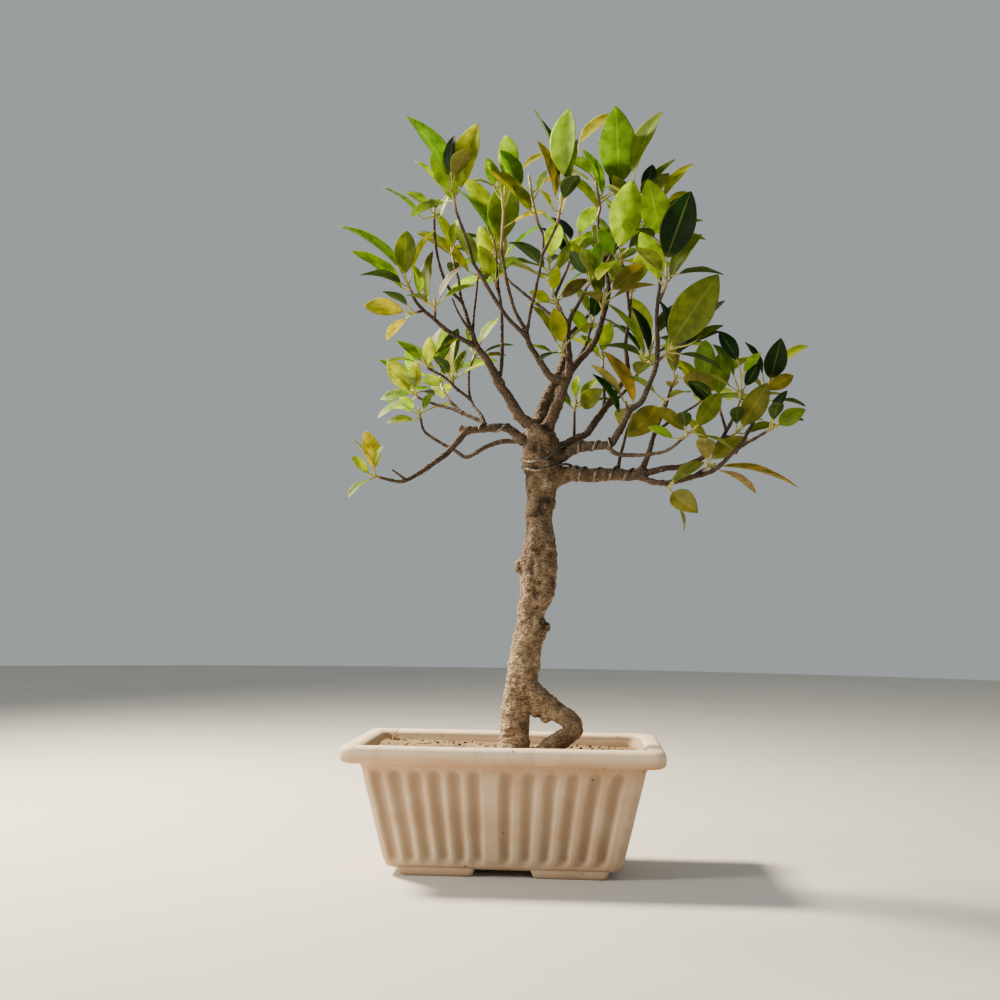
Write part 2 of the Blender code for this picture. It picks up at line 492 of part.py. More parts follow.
# Shoots: the green stem's points, then its leaves. A leaf is the place of its blade's foot seen from the
# front (x, z), the way it points there in degrees clockwise from straight up, and how long and how wide it
# looks from the front. A blade that looks narrow is turned edge on, and one that looks short leans forward.
SHOOTS = {
    "left_outer": ([(-72, -30, 410), (-75, -31, 416)],
                   [(-82, 428, -55, 54, 8), (-79, 413, -55, 44, 10), (-76, 421, 0, 32, 14)]),
    "left_twig": ([(-55, -27, 397), (-55, -29, 401)],
                  [(-53, 402, 35, 30, 7), (-60, 406, 5, 33, 8), (-66, 407, -10, 21, 6)]),
    "left_upper": ([(-45, 4, 440), (-47, 5, 450)],
                   [(-45, 451, 5, 19, 7), (-48, 454, -25, 27, 7)]),
    "left_bud": ([(-58, -18, 468), (-58, -19, 472)],
                 [(-66, 465, -50, 37, 5), (-55, 465, 25, 20, 6)]),
    "left_inner": ([(-28, 9, 428), (-26, 11, 436)],
                   [(-24, 440, -5, 31, 10), (-33, 436, -55, 48, 10)]),
    "left_pale": ([(-13, 4, 423), (-15, 2, 428)],
                  [(-15, 431, -30, 18, 11)]),
    "left_yellow": ([(-68, -26, 396), (-71, -27, 395)],
                    [(-74, 395, -80, 29, 12)]),
    "middle_left": ([(-14, 12, 446), (-15, 13, 456), (-19, 14, 468)],
                    [(-12, 459, 10, 43, 21), (-9, 459, 15, 37, 9), (-19, 475, -30, 40, 13), (-16, 458, -35, 46, 6)]),
    "top_left": ([(-39, -48, 464), (-41, -49, 474), (-43, -48, 482)],
                 [(-45, 489, -35, 55, 14), (-36, 481, 15, 45, 17), (-40, 468, -25, 39, 14), (-42, 488, 5, 26, 8),
                  (-54, 484, -45, 20, 4)]),
    "middle_front": ([(-7, -40, 438), (-6, -41, 456), (-5, -42, 480)],
                     [(-4, 488, 0, 33, 13), (-13, 485, -15, 20, 8), (7, 495, 55, 23, 6), (-9, 486, -30, 16, 6)]),
    "top_middle": ([(19, -45, 456), (16, -45, 468), (13, -44, 486)],
                   [(7, 481, -30, 30, 10), (18, 476, 30, 14, 6), (10, 470, -50, 32, 10), (14, 462, -35, 21, 8)]),
    "top_middle_right": ([(33, -49, 454), (35, -50, 466), (37, -50, 480)],
                         [(33, 487, -20, 54, 7), (37, 484, 5, 44, 16), (41, 483, 10, 32, 9), (36, 461, 20, 28, 6),
                          (31, 460, -40, 13, 4), (31, 474, -25, 40, 8)]),
    "centre_left": ([(35, -1, 405), (32, 0, 411)],
                    [(29, 419, 15, 14, 8), (36, 414, 55, 22, 9), (30, 410, -75, 14, 7)]),
    "centre": ([(54, -10, 418), (58, -11, 424)],
               [(54, 428, -40, 19, 9), (60, 430, 15, 24, 9)]),
    "centre_front": ([(66, 8, 402), (66, 4, 406), (67, 0, 414)],
                     [(64, 408, -25, 50, 11), (67, 421, -30, 33, 8), (73, 418, 50, 29, 13)]),
    "top_right_back": ([(63, 39, 488), (64, 40, 498), (58, 41, 530)],
                       [(48, 546, 50, 39, 11), (79, 511, -5, 50, 26), (73, 504, -15, 40, 9), (67, 502, -25, 37, 9),
                        (64, 491, -45, 40, 10)]),
    "right_front": ([(80, -8, 437), (78, -14, 443)],
                    [(78, 447, 10, 45, 21), (98, 436, -35, 49, 12), (75, 437, -30, 22, 9)]),
    "right_top": ([(106, -38, 440), (106, -39, 446)],
                  [(105, 449, -20, 26, 19), (112, 452, 75, 24, 6), (108, 452, 25, 30, 10)]),
    "right_dark": ([(108, -35, 408), (110, -39, 414), (110, -40, 424)],
                   [(106, 412, -20, 37, 15), (113, 417, 35, 37, 10), (110, 431, 20, 41, 21)]),
    "right_peak": ([(88, 14, 482), (93, 12, 494)],
                   [(89, 511, 25, 49, 12), (98, 495, 40, 34, 7), (112, 494, 40, 33, 8), (114, 487, 55, 18, 8),
                    (98, 488, 10, 25, 10)]),
    "right_inner": ([(88, 32, 420), (89, 33, 427)],
                    [(84, 432, -40, 30, 11), (92, 433, 20, 30, 12)]),
    "centre_right": ([(67, 23, 366), (67, 24, 374)],
                     [(66, 378, 15, 23, 10), (64, 376, -45, 20, 6)]),
    "right_long": ([(101, -19, 360), (99, -17, 364)],
                   [(96, 366, -35, 48, 7), (99, 370, -22, 33, 8)]),
    "right_knee": ([(85, -3, 330), (84, 0, 334)],
                   [(89, 335, -30, 43, 10), (80, 323, -35, 34, 7)]),
    "centre_small": ([(58, 19, 395), (59, 21, 400)],
                     [(59, 399, 10, 22, 10), (57, 389, -35, 22, 9)]),
    "centre_spur_leaves": ([(39, -13, 367), (36, -16, 371)],
                           [(37, 376, -15, 23, 11), (34, 373, -35, 31, 6), (29, 370, -75, 18, 4)]),
    "fork_sprout_leaves": ([(46, 13, 330), (47, 14, 337)],
                           [(47, 341, 5, 16, 6), (50, 339, 40, 21, 7), (43, 334, -40, 15, 5), (51, 334, 60, 20, 12)]),
    "right_big": ([(109, -28, 364), (114, -31, 369)],
                  [(114, 372, 35, 49, 25), (116, 359, 40, 52, 10), (131, 373, 60, 22, 6), (117, 366, 65, 33, 7)]),
    "right_low": ([(121, -46, 302), (128, -51, 308)],
                  [(130, 310, 35, 28, 12), (122, 308, -55, 25, 9), (114, 302, -65, 18, 6)]),
    "lower_inner": ([(118, 12, 350), (121, 15, 356)],
                    [(126, 356, 110, 26, 13), (120, 361, -15, 24, 9)]),
    "lower_middle": ([(150, -22, 324), (148, -20, 333)],
                     [(148, 338, 5, 30, 13), (144, 332, -50, 22, 9)]),
    "lower_khaki": ([(112, 1, 335), (111, -3, 336)],
                    [(108, 331, -135, 31, 16)]),
    "lower_outer": ([(160, -32, 325), (163, -34, 336)],
                    [(160, 359, -30, 24, 10), (158, 349, -35, 26, 7), (164, 350, 40, 18, 6),
                     (166, 342, 30, 18, 8)]),
    "lower_big": ([(156, -33, 306), (160, -35, 309)],
                  [(163, 313, 30, 30, 15), (165, 308, 75, 22, 6)]),
    "edge_upper": ([(177, -28, 328), (182, -25, 338)],
                   [(184, 348, 10, 22, 14), (192, 361, 60, 21, 6), (178, 338, 55, 21, 9), (179, 352, -30, 25, 6)]),
    "edge": ([(177, -57, 306), (181, -59, 308)],
             [(184, 311, 65, 15, 10), (181, 317, 30, 19, 6)]),
    "underside": ([(136, -34, 282), (142, -36, 285)],
                  [(150, 285, 105, 53, 6), (142, 290, 60, 28, 11), (139, 293, -30, 30, 7)]),
    "hanging": ([(112, -26, 271), (113, -29, 269)],
                [(115, 266, 135, 19, 14), (116, 275, 60, 24, 8)]),
    "far_left": ([(-90, -42, 274), (-94, -43, 275)],
                 [(-93, 276, -15, 27, 10), (-96, 274, -45, 16, 6), (-93, 281, 30, 14, 4)]),
    "low_left_back": ([(-74, 35, 344), (-77, 37, 348)],
                      [(-81, 350, -35, 25, 13), (-78, 349, 15, 19, 10), (-80, 352, -10, 31, 8), (-85, 353, -45, 29, 5),
                       (-81, 347, -100, 22, 8), (-80, 342, -120, 28, 6)]),
    "low_left_front": ([(-62, -6, 359), (-64, -7, 363)],
                       [(-68, 364, -50, 22, 6), (-61, 360, 5, 18, 9), (-59, 362, 15, 26, 6), (-57, 357, 35, 17, 6)]),
    "low_left_middle": ([(-44, 2, 348), (-44, 2, 352)],
                        [(-45, 355, 5, 26, 7), (-43, 353, 25, 19, 7), (-51, 351, -95, 15, 7)]),
    "low_left_inner": ([(-31, 14, 368), (-29, 15, 374)],
                       [(-25, 382, 35, 24, 7), (-28, 375, 45, 10, 4), (-31, 378, -15, 18, 6), (-25, 371, 85, 19, 4)]),
    "low_left_under": ([(-71, 27, 327), (-72, 28, 332)],
                       [(-76, 325, -95, 20, 6), (-74, 333, -60, 13, 6), (-69, 334, 40, 12, 6)]),
}

# Shoots at the back, whose leaves stand round the stem in a spiral: the stem's points and the leaf count.
REAR_SHOOTS = {
    "rear_top": ([(28, 66, 434), (26, 70, 446), (24, 72, 462)], 9),
    "rear_right": ([(70, 72, 438), (76, 76, 450), (80, 78, 464)], 9),
    "rear_left": ([(-6, 72, 444), (-14, 75, 454), (-20, 76, 468)], 9),
    "rear_far_right": ([(98, 58, 372), (104, 64, 384), (108, 68, 398)], 8),
    "rear_low_right": ([(138, 42, 340), (144, 48, 346), (150, 52, 356)], 8),
    "rear_low_left": ([(-56, 50, 352), (-59, 56, 358), (-60, 60, 366)], 7),
    "rear_peak": ([(38, 76, 454), (42, 80, 466), (46, 82, 482)], 8),
    "rear_right_peak": ([(84, 48, 470), (90, 52, 480), (94, 54, 494)], 8),
}

STEM_RADIUS = 1.0
NODE_SPACING = 0.09        # least distance between two leaves, as a share of the stem
SPIRAL = math.radians(137.5)
FILLERS = 2                # leaves tried behind the listed ones of each front shoot
FILLER_SHARE = 0.85        # their length beside that of the shoot's own leaves


def outline(u):
    """Half width of a blade along its length, as a share of the full half width: widest past the middle."""
    return math.sin(math.pi * u ** 0.9) ** 0.8


def leaf_frame(clock, lean, turn):
    """The blade's direction at its foot and its upper face's direction. The line from foot to tip has the
    clock and the lean, and the blade starts half its droop above that line."""
    clock = math.radians(clock)
    lean = math.radians(lean)
    turn = math.radians(turn)
    ahead = Vector((math.sin(clock) * math.cos(lean), -math.sin(lean), math.cos(clock) * math.cos(lean)))
    face = Vector((0, -1, 0)) - ahead * ahead.dot(Vector((0, -1, 0)))
    face = face.normalized() if face.length > 1e-6 else Vector((0, 0, 1))
    edge = ahead.cross(face)
    up = face * math.cos(turn) + edge * math.sin(turn)
    back = DROOP / 2
    return ahead * math.cos(back) + up * math.sin(back), up * math.cos(back) - ahead * math.sin(back)


def leaf_mesh(start, foot, ahead, up, length, width, thickness):
    """A petiole from the stem to the blade's foot and a folded, drooping blade, as one closed loft."""
    side = ahead.cross(up)
    bm = bmesh.new()
    rings = []
    half = PETIOLE_WIDTH / 2
    stalk = (foot - start).normalized()
    for place, toward in ((start, stalk), (foot, (stalk + ahead).normalized())):
        across = (side - toward * side.dot(toward)).normalized()
        lift = across.cross(toward)
        rings.append([place - across * half, place + lift * half, place + across * half, place - lift * half])
    for u in (0.35, 0.75):
        bend = DROOP * u
        mid = foot + ahead * length * math.sin(bend) / DROOP - up * length * (1 - math.cos(bend)) / DROOP
        lift = up * math.cos(bend) + ahead * math.sin(bend)
        half = outline(u) * width / 2
        fold = 0.28 * half
        rings.append([mid - side * half + lift * fold, mid + lift * thickness / 2,
                      mid + side * half + lift * fold, mid - lift * thickness / 2])
    tip = foot + ahead * length * math.sin(DROOP) / DROOP - up * length * (1 - math.cos(DROOP)) / DROOP
    rows = [[bm.verts.new(point * MM) for point in ring] for ring in rings]
    end = bm.verts.new(tip * MM)
    bm.faces.new(rows[0])
    for one, two in zip(rows, rows[1:]):
        for i in range(4):
            j = (i + 1) % 4
            bm.faces.new((one[i], two[i], two[j], one[j]))
    for i in range(4):
        bm.faces.new((rows[-1][i], end, rows[-1][(i + 1) % 4]))
    bmesh.ops.triangulate(bm, faces=bm.faces)
    bmesh.ops.recalc_face_normals(bm, faces=bm.faces)
    return bm


def petiole_start(route, x, z, clock, used):
    """The point of a stem that a petiole comes from: near the blade's foot, not beyond it, and its own."""
    best = None
    ahead = Vector((math.sin(math.radians(clock)), math.cos(math.radians(clock))))
    for share in (0.2 + 0.68 * i / 30 for i in range(31)):
        if any(abs(share - other) < NODE_SPACING for other in used):
            continue
        point, _ = along(route, share)
        reach = Vector((x - point.x, z - point.z))
        cost = reach.length - 0.8 * reach.dot(ahead)
        if best is None or cost < best[0]:
            best = (cost, point, share)
    used.append(best[2])
    return best[1]


def touches(bm, others):
    own = BVHTree.FromBMesh(bm)
    return any(own.overlap(other) for other in others)


# The ways a leaf may give room to its neighbours, nearest first: shift in depth, change of lean, of clock.
TRIES = [(dy, dl, dc) for dy in (0, -5, 5, -10, 10, -16, 16, -24, 24) for dl in (0, -14, 14, -28, 28)
         for dc in (0, 6, -6)]
TRIES.sort(key=lambda way: abs(way[0]) / 5 + abs(way[1]) / 9 + abs(way[2]) / 5)


def place_leaf(start, x, z, clock, seen_length, seen_width, index, others):
    """Find the first way for a leaf to hang clear of all that is there already."""
    length = max(seen_length, seen_width / 0.45, 16.0)
    width = max(seen_width, LEAF_SLENDERNESS * length)
    lean = math.degrees(math.acos(min(1.0, seen_length / length))) + (8 if index % 2 else -6)
    turn = math.degrees(math.acos(min(1.0, seen_width / width))) * (-1 if clock > 0 else 1)
    length *= LENGTH_GAIN
    width *= WIDTH_GAIN
    for shift, more_lean, more_clock in TRIES:
        foot = Vector((x, start.y + shift + (2 if index % 2 else -2), z))
        ahead, up = leaf_frame(clock + more_clock, lean + more_lean, turn)
        reach = foot - start
        if reach.dot(ahead) < 0.3 * reach.length or reach.length < PETIOLE_SHORTEST:
            foot = start + reach + ahead * PETIOLE_SHORTEST
        fat = leaf_mesh(start.lerp(foot, 0.3), foot, ahead, up, length, width + 1.2, 2.0)
        blocked = touches(fat, others)
        fat.free()
        if not blocked:
            return leaf_mesh(start, foot, ahead, up, length, width, LEAF_THICKNESS)
    return None


def place_rear_leaf(route, share, azimuth, length, others):
    """A leaf of a spiral, leaning out from the stem with its upper face to the sky."""
    start, ahead = along(route, share)
    side = ahead.cross(Vector((0, 1, 0))).normalized()
    for shift in (0, 14, -14, 28, -28, 42, -42, 56, -56):
        angle = azimuth + math.radians(shift)
        out = side * math.cos(angle) + ahead.cross(side) * math.sin(angle)
        for opening in (0.95, 1.2, 0.7, 1.4):
            toward = (ahead * math.cos(opening) + out * math.sin(opening)).normalized()
            up = (Vector((0, 0, 1)) - toward * toward.z)
            up = up.normalized() if up.length > 0.2 else (ahead - toward * ahead.dot(toward)).normalized()
            foot = start + toward * 9
            width = LEAF_SLENDERNESS * length
            fat = leaf_mesh(start.lerp(foot, 0.3), foot, toward, up, length, width + 1.2, 2.0)
            blocked = touches(fat, others)
            fat.free()
            if not blocked:
                return leaf_mesh(start, foot, toward, up, length, width, LEAF_THICKNESS)
    return None


def filler_ways(leaves, used):
    """Share of the stem, azimuth and length of each filler leaf of a front shoot."""
    usual = max(24.0, FILLER_SHARE * sum(row[3] for row in leaves) / len(leaves))
    ways = []
    for index in range(FILLERS):
        share = 0.2 + 0.6 * (index + 0.5) / FILLERS
        while any(abs(share - other) < NODE_SPACING for other in used) and share < 0.95:
            share += 0.02
        used.append(share)
        ways.append((share, (index + len(leaves)) * SPIRAL, usual))
    return ways


def clear_start(route):
    """Start the green stem just past the end of its twig."""
    points = [Vector(point) for point in route]
    ahead = (points[1] - points[0]).normalized()
    points[0] = points[0] + ahead * (GAP + 0.75 * STEM_RADIUS)
    return points


def make_shoot(name, route, leaves, finish):
    stem = tube(name, route, taper(len(route), STEM_RADIUS, 0.75 * STEM_RADIUS), sides=4, finish=finish)
    for bm in leaves:
        combine(stem, mesh_object("leaf", bm, parts), "UNION", "MANIFOLD")
    stem.data.materials.clear()
    stem.data.materials.append(finish)
    return stem


def make_shoots(taken, finish):
    """Stems first, so that each leaf keeps clear of all of them, then the leaves, shoot by shoot."""
    routes = {"shoot_" + name: clear_start(row[0]) for name, row in SHOOTS.items()}
    routes.update({"shoot_" + name: clear_start(row[0]) for name, row in REAR_SHOOTS.items()})
    stems = {}
    for name, route in routes.items():
        probe = tube("probe", route, [STEM_RADIUS + 0.4] * len(route), sides=6)
        stems[name] = tree_of(probe)
        bpy.data.objects.remove(probe, do_unlink=True)
    grown = {name: [] for name in routes}
    fillers = {}
    for name, (_, leaves) in SHOOTS.items():
        name = "shoot_" + name
        others = taken + [tree for key, tree in stems.items() if key != name]
        used = []
        for index, (x, z, clock, length, width) in enumerate(leaves):
            start = petiole_start(routes[name], x, z, clock, used)
            bm = place_leaf(start, x, z, clock, length, width, index, others)
            if bm is None:
                continue
            grown[name].append(bm)
            found = BVHTree.FromBMesh(bm)
            taken.append(found)
            others.append(found)
        fillers[name] = filler_ways(leaves, used)
    dice = random.Random(7)
    for name, (_, count) in REAR_SHOOTS.items():
        ways = []
        for index in range(count):
            length = dice.uniform(36, 46) * (1.0 - 0.25 * (index == count - 1))
            ways.append((0.25 + 0.75 * index / (count - 1), index * SPIRAL, length))
        fillers["shoot_" + name] = ways
    for name in sorted(fillers, key=lambda name: "rear" not in name):
        others = taken + [tree for key, tree in stems.items() if key != name]
        for share, azimuth, length in fillers[name]:
            bm = place_rear_leaf(routes[name], share, azimuth, length, others)
            if bm is None:
                continue
            grown[name].append(bm)
            found = BVHTree.FromBMesh(bm)
            taken.append(found)
            others.append(found)
    for name, made in grown.items():
        make_shoot(name, routes[name], made, finish)


def centre_over_origin():
    """Move the whole object so that the origin is the middle of its box, at the height of the table."""
    corners = [vert.co for made in parts.objects for vert in made.data.vertices]
    middle_x = (min(co.x for co in corners) + max(co.x for co in corners)) / 2
    middle_y = (min(co.y for co in corners) + max(co.y for co in corners)) / 2
    for made in parts.objects:
        made.location -= Vector((middle_x, middle_y, 0))


# ---------------------------------------------------------------- build

ceramic = material("matte_cream_ceramic", (0.62, 0.44, 0.30), 0.75)
earth = material("sandy_soil", (0.32, 0.21, 0.12), 0.95)
bark_finish = material("grey_tan_bark", (0.30, 0.21, 0.13), 0.85)
aluminium = material("aluminium_wire", (0.60, 0.59, 0.57), 0.35, 1.0)
leaf_finish = material("leaf_green", (0.16, 0.28, 0.03), 0.4)

make_pot(ceramic)
make_soil(earth)
tree = make_tree(bark_finish)
make_wires(tree, aluminium)
standing = [tree_of(made) for made in parts.objects if made.type == "MESH"]
make_shoots(standing, leaf_finish)
centre_over_origin()
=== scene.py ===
# Potted fig bonsai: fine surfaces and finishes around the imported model.
# Lengths are in millimetres from the middle of the pot, and turned to metres when a mesh is made.
import math
import random

import bmesh
import bpy
import numpy as np
from mathutils import Matrix, Vector
from mathutils.bvhtree import BVHTree
from mathutils.kdtree import KDTree

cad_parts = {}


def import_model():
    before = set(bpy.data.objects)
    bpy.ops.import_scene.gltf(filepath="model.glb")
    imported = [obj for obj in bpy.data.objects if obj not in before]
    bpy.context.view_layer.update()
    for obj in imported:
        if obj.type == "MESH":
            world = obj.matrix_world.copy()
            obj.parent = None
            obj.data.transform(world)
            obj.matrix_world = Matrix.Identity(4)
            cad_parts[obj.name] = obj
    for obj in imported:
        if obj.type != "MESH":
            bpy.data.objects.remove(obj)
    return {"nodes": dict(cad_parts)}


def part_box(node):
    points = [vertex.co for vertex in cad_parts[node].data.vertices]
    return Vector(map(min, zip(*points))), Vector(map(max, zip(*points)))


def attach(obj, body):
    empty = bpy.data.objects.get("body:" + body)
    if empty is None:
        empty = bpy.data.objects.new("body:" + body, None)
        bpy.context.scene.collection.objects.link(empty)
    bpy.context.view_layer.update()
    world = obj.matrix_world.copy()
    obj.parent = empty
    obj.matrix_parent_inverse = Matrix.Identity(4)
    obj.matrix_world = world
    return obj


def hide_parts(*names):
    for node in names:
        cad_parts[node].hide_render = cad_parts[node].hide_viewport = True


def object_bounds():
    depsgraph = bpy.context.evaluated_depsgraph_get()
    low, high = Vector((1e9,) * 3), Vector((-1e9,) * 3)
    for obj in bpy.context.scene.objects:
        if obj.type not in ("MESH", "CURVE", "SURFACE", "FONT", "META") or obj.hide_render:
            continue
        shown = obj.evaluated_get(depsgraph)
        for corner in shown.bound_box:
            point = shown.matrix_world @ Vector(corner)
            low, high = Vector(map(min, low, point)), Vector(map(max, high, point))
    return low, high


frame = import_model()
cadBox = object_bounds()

mm = 0.001
potLow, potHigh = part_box("pot")
potMiddle = np.array([(potLow.x + potHigh.x) / 2, (potLow.y + potHigh.y) / 2, 0.0])
boxLow, boxHigh = ((np.array(corner) - potMiddle) / mm for corner in cadBox)

camera = {
    "place": (49, -909, 181), "yaw": 3.57, "pitch": 5.12, "roll": 0.85, "lens": 45.0,
}
# Each lamp: place, what it looks at, diameter, power, colour
lamps = {
    "key": ((-700, 300, 900), (20, 0, 300), 240, 60, "#FFEFD6"),
    "fill": ((-1150, -560, 560), (20, 0, 200), 300, 15, "#FFFAF0"),
    "side": ((950, -700, 520), (20, 0, 250), 800, 1.5, "#EEF2F8"),
}
room = {
    "sky": "#C9CFD0", "skyStrength": 0.62, "floorRadius": 3200, "floorColour": "#CFCBC2",
}


def world(points):
    return np.asarray(points, float) * mm + potMiddle


def linear(hexColour):
    # sRGB to linear light, channel by channel
    parts = [int(hexColour[i:i + 2], 16) / 255 for i in (1, 3, 5)]
    return tuple(p / 12.92 if p <= 0.04045 else ((p + 0.055) / 1.055) ** 2.4 for p in parts) + (1.0,)


def addNode(tree, kind, sockets, output=None, **settings):
    # a shader node with its settings, each socket linked or set; gives the named output, or the node itself
    made = tree.nodes.new("ShaderNode" + kind)
    for name, value in settings.items():
        setattr(made, name, value)
    for name, value in sockets.items():
        if isinstance(value, bpy.types.NodeSocket):
            tree.links.new(value, made.inputs[name])
        else:
            made.inputs[name].default_value = value
    return made if output is None else made.outputs[output]


def newMaterial(name):
    made = bpy.data.materials.new(name)
    made.use_nodes = True
    made.node_tree.nodes.clear()
    return made, made.node_tree


def noise(points, cell, seed):
    # value noise from -1 to 1: random numbers at the corners of a lattice, blended by 3t^2 - 2t^3
    scaled = points / np.asarray(cell, float) + seed * 7.31
    base = np.floor(scaled).astype(np.int64)
    part = scaled - base
    part = part * part * (3 - 2 * part)
    total = np.zeros(len(points))
    for corner in range(8):
        step = np.array([corner & 1, corner >> 1 & 1, corner >> 2 & 1])
        at = base + step
        mixed = at[:, 0] * 73856093 ^ at[:, 1] * 19349663 ^ at[:, 2] * 83492791 ^ seed * 265443
        mixed = (mixed ^ mixed >> 13) * 1274126177
        value = ((mixed ^ mixed >> 16) & 65535) / 32767.5 - 1
        total += np.prod(np.where(step, part, 1 - part), axis=1) * value
    return total


def gridFaces(rows, columns, closed):
    # quads between neighbouring rows of a grid, with the last column joined to the first if closed
    last = columns if closed else columns - 1
    row, column = np.meshgrid(np.arange(rows - 1), np.arange(last), indexing="ij")
    after = (column + 1) % columns
    one, two = row * columns + column, row * columns + after
    return np.stack([one, two, two + columns, one + columns], axis=-1).reshape(-1, 4)


def allFaces(groups):
    # the faces of every group in one plain list
    return [face for group in groups for face in group.tolist()]


def capFaces(first, count, pole, outward):
    # triangles from a closed ring to a pole
    ring = first + np.arange(count)
    after = np.roll(ring, -1)
    fan = np.stack([after, ring, np.full(count, pole)], axis=-1)
    return fan if outward else fan[:, ::-1]


def putMesh(name, points, faces, material, attributes=None, slots=None):
    # points in millimetres; attributes by name as one value or one vector or colour to a point
    mesh = bpy.data.meshes.new(name)
    mesh.from_pydata(world(points).tolist(), [], [tuple(face) for face in faces])
    for key, values in (attributes or {}).items():
        values = np.asarray(values, np.float32)
        kind = "FLOAT" if values.ndim == 1 else "FLOAT_VECTOR" if values.shape[1] == 3 else "FLOAT_COLOR"
        layer = mesh.attributes.new(key, kind, "POINT")
        layer.data.foreach_set({"FLOAT": "value", "FLOAT_VECTOR": "vector", "FLOAT_COLOR": "color"}[kind],
                               values.ravel())
    for finish in (material if isinstance(material, list) else [material]):
        mesh.materials.append(finish)
    if slots is not None:
        mesh.polygons.foreach_set("material_index", np.asarray(slots, np.int32))
    mesh.shade_smooth()
    mesh.update()
    made = bpy.data.objects.new(name, mesh)
    bpy.context.scene.collection.objects.link(made)
    return made


def join(pieces):
    # several (points, faces) as one, each face list a list of index arrays
    points, faces, start = [], [], 0
    for somePoints, someFaces in pieces:
        points.append(somePoints)
        faces += [tuple(face) for group in someFaces for face in (group + start).tolist()]
        start += len(somePoints)
    return np.concatenate(points), faces


def freeze(made):
    # apply an object's modifiers
    bpy.context.view_layer.update()
    graph = bpy.context.evaluated_depsgraph_get()
    old = made.data
    mesh = bpy.data.meshes.new_from_object(made.evaluated_get(graph))
    made.modifiers.clear()
    made.data = mesh
    bpy.data.meshes.remove(old)
    return made


def declare(made, node=None):
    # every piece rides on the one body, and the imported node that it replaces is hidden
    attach(made, "root")
    if node:
        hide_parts(node)
    return made


def unit(vectors):
    return vectors / np.linalg.norm(vectors, axis=-1, keepdims=True)


def smoothRoute(points, spacing):
    # Catmull-Rom curve through the points: each span is a cubic whose slopes come from its neighbours
    points = np.asarray(points, float)
    padded = np.vstack([2 * points[0] - points[1], points, 2 * points[-1] - points[-2]])
    out = []
    for i in range(len(points) - 1):
        a, b, c, d = padded[i:i + 4]
        count = max(1, round(np.linalg.norm((c - b)[:3]) / spacing))
        t = (np.arange(count) / count)[:, None]
        out.append(0.5 * (2 * b + (c - a) * t + (2 * a - 5 * b + 4 * c - d) * t ** 2
                          + (3 * b - a - 3 * c + d) * t ** 3))
    out.append(points[-1:])
    return np.concatenate(out)


def tube(route, radii, sides):
    # a circle carried along the route, with a point at each end: centre + (side cos + other sin) radius
    route = np.asarray(route, float)
    ahead = unit(np.gradient(route, axis=0))
    reference = np.eye(3)[np.argmin(np.abs(ahead).max(axis=0))]
    side = unit(np.cross(ahead, reference))
    other = np.cross(ahead, side)
    angle = np.arange(sides) * 2 * math.pi / sides
    radii = np.broadcast_to(radii, len(route))[:, None, None]
    cos, sin = np.cos(angle)[:, None], np.sin(angle)[:, None]
    rings = route[:, None] + radii * (side[:, None] * cos + other[:, None] * sin)
    points = np.vstack([rings.reshape(-1, 3), route[:1], route[-1:]])
    last = (len(route) - 1) * sides
    return points, [gridFaces(len(route), sides, True), capFaces(0, sides, len(points) - 2, True),
                    capFaces(last, sides, len(points) - 1, False)]


pot = {
    "rim": (220.0, 136.0), "height": 90.0, "rimHeight": 12.0, "overhang": 12.0, "lean": 16.5,
    "footHeight": 5.0, "footTop": (55.0, 19.0), "footBase": (49.0, 15.0), "footPlace": (46.0, 29.0),
    "lip": 13.5, "floor": 6.0, "footCorner": 3.0, "drainRadius": 6.0, "drainSpacing": 80.0,
    "flutesLeft": (-19.5, -13.6, 6), "fluteMiddle": (2.5, 0.0, 1), "flutesRight": (18.5, 15.2, 5),
    "flutesEnd": (-29.2, 14.6, 5), "fluteHalf": 5.4, "fluteDepth": 2.7, "fluteTop": 75.0,
    "warp": 0.55, "longSteps": 190, "shortSteps": 118, "cornerSteps": 9,
}
bodyTop = pot["height"] - pot["rimHeight"]
wallSlope = pot["lean"] / (bodyTop - pot["footHeight"])


def rectangleWay(longSteps, shortSteps, cornerSteps):
    # once round a rounded rectangle: which share of the straight sides each point sits at, and its normal
    corners, normals = [], []
    for side, steps in enumerate((longSteps, shortSteps, longSteps, shortSteps)):
        start = -math.pi / 2 + side * math.pi / 2
        out = np.array([math.cos(start), math.sin(start)])
        along = np.array([-out[1], out[0]])
        share = np.linspace(-1, 1, steps, endpoint=False)[:, None]
        corners.append(out + along * share)
        normals.append(np.broadcast_to(out, (steps, 2)))
        turn = start + np.linspace(0, math.pi / 2, cornerSteps, endpoint=False)
        corners.append(np.broadcast_to(out + along, (cornerSteps, 2)))
        normals.append(np.stack([np.cos(turn), np.sin(turn)], axis=1))
    return np.concatenate(corners), np.concatenate(normals)


def rectangleRings(halfLong, halfShort, corner, z, way):
    # one ring to each row: corner centre times the way's share, plus the corner radius times its normal
    corners, normals = way
    values = (halfLong, halfShort, corner, z)
    halfLong, halfShort, corner, z = (np.atleast_1d(value).astype(float) for value in values)
    half = np.stack([halfLong - corner, halfShort - corner], axis=1)[:, None]
    flat = corners * half + normals * corner[:, None, None]
    return np.concatenate([flat, np.broadcast_to(z[:, None, None], flat.shape[:2] + (1,))], axis=2)


def arc(centre, radius, first, last, steps):
    turn = np.radians(np.linspace(first, last, steps))
    return [(centre[0] + radius * math.cos(t), centre[1] + radius * math.sin(t)) for t in turn]


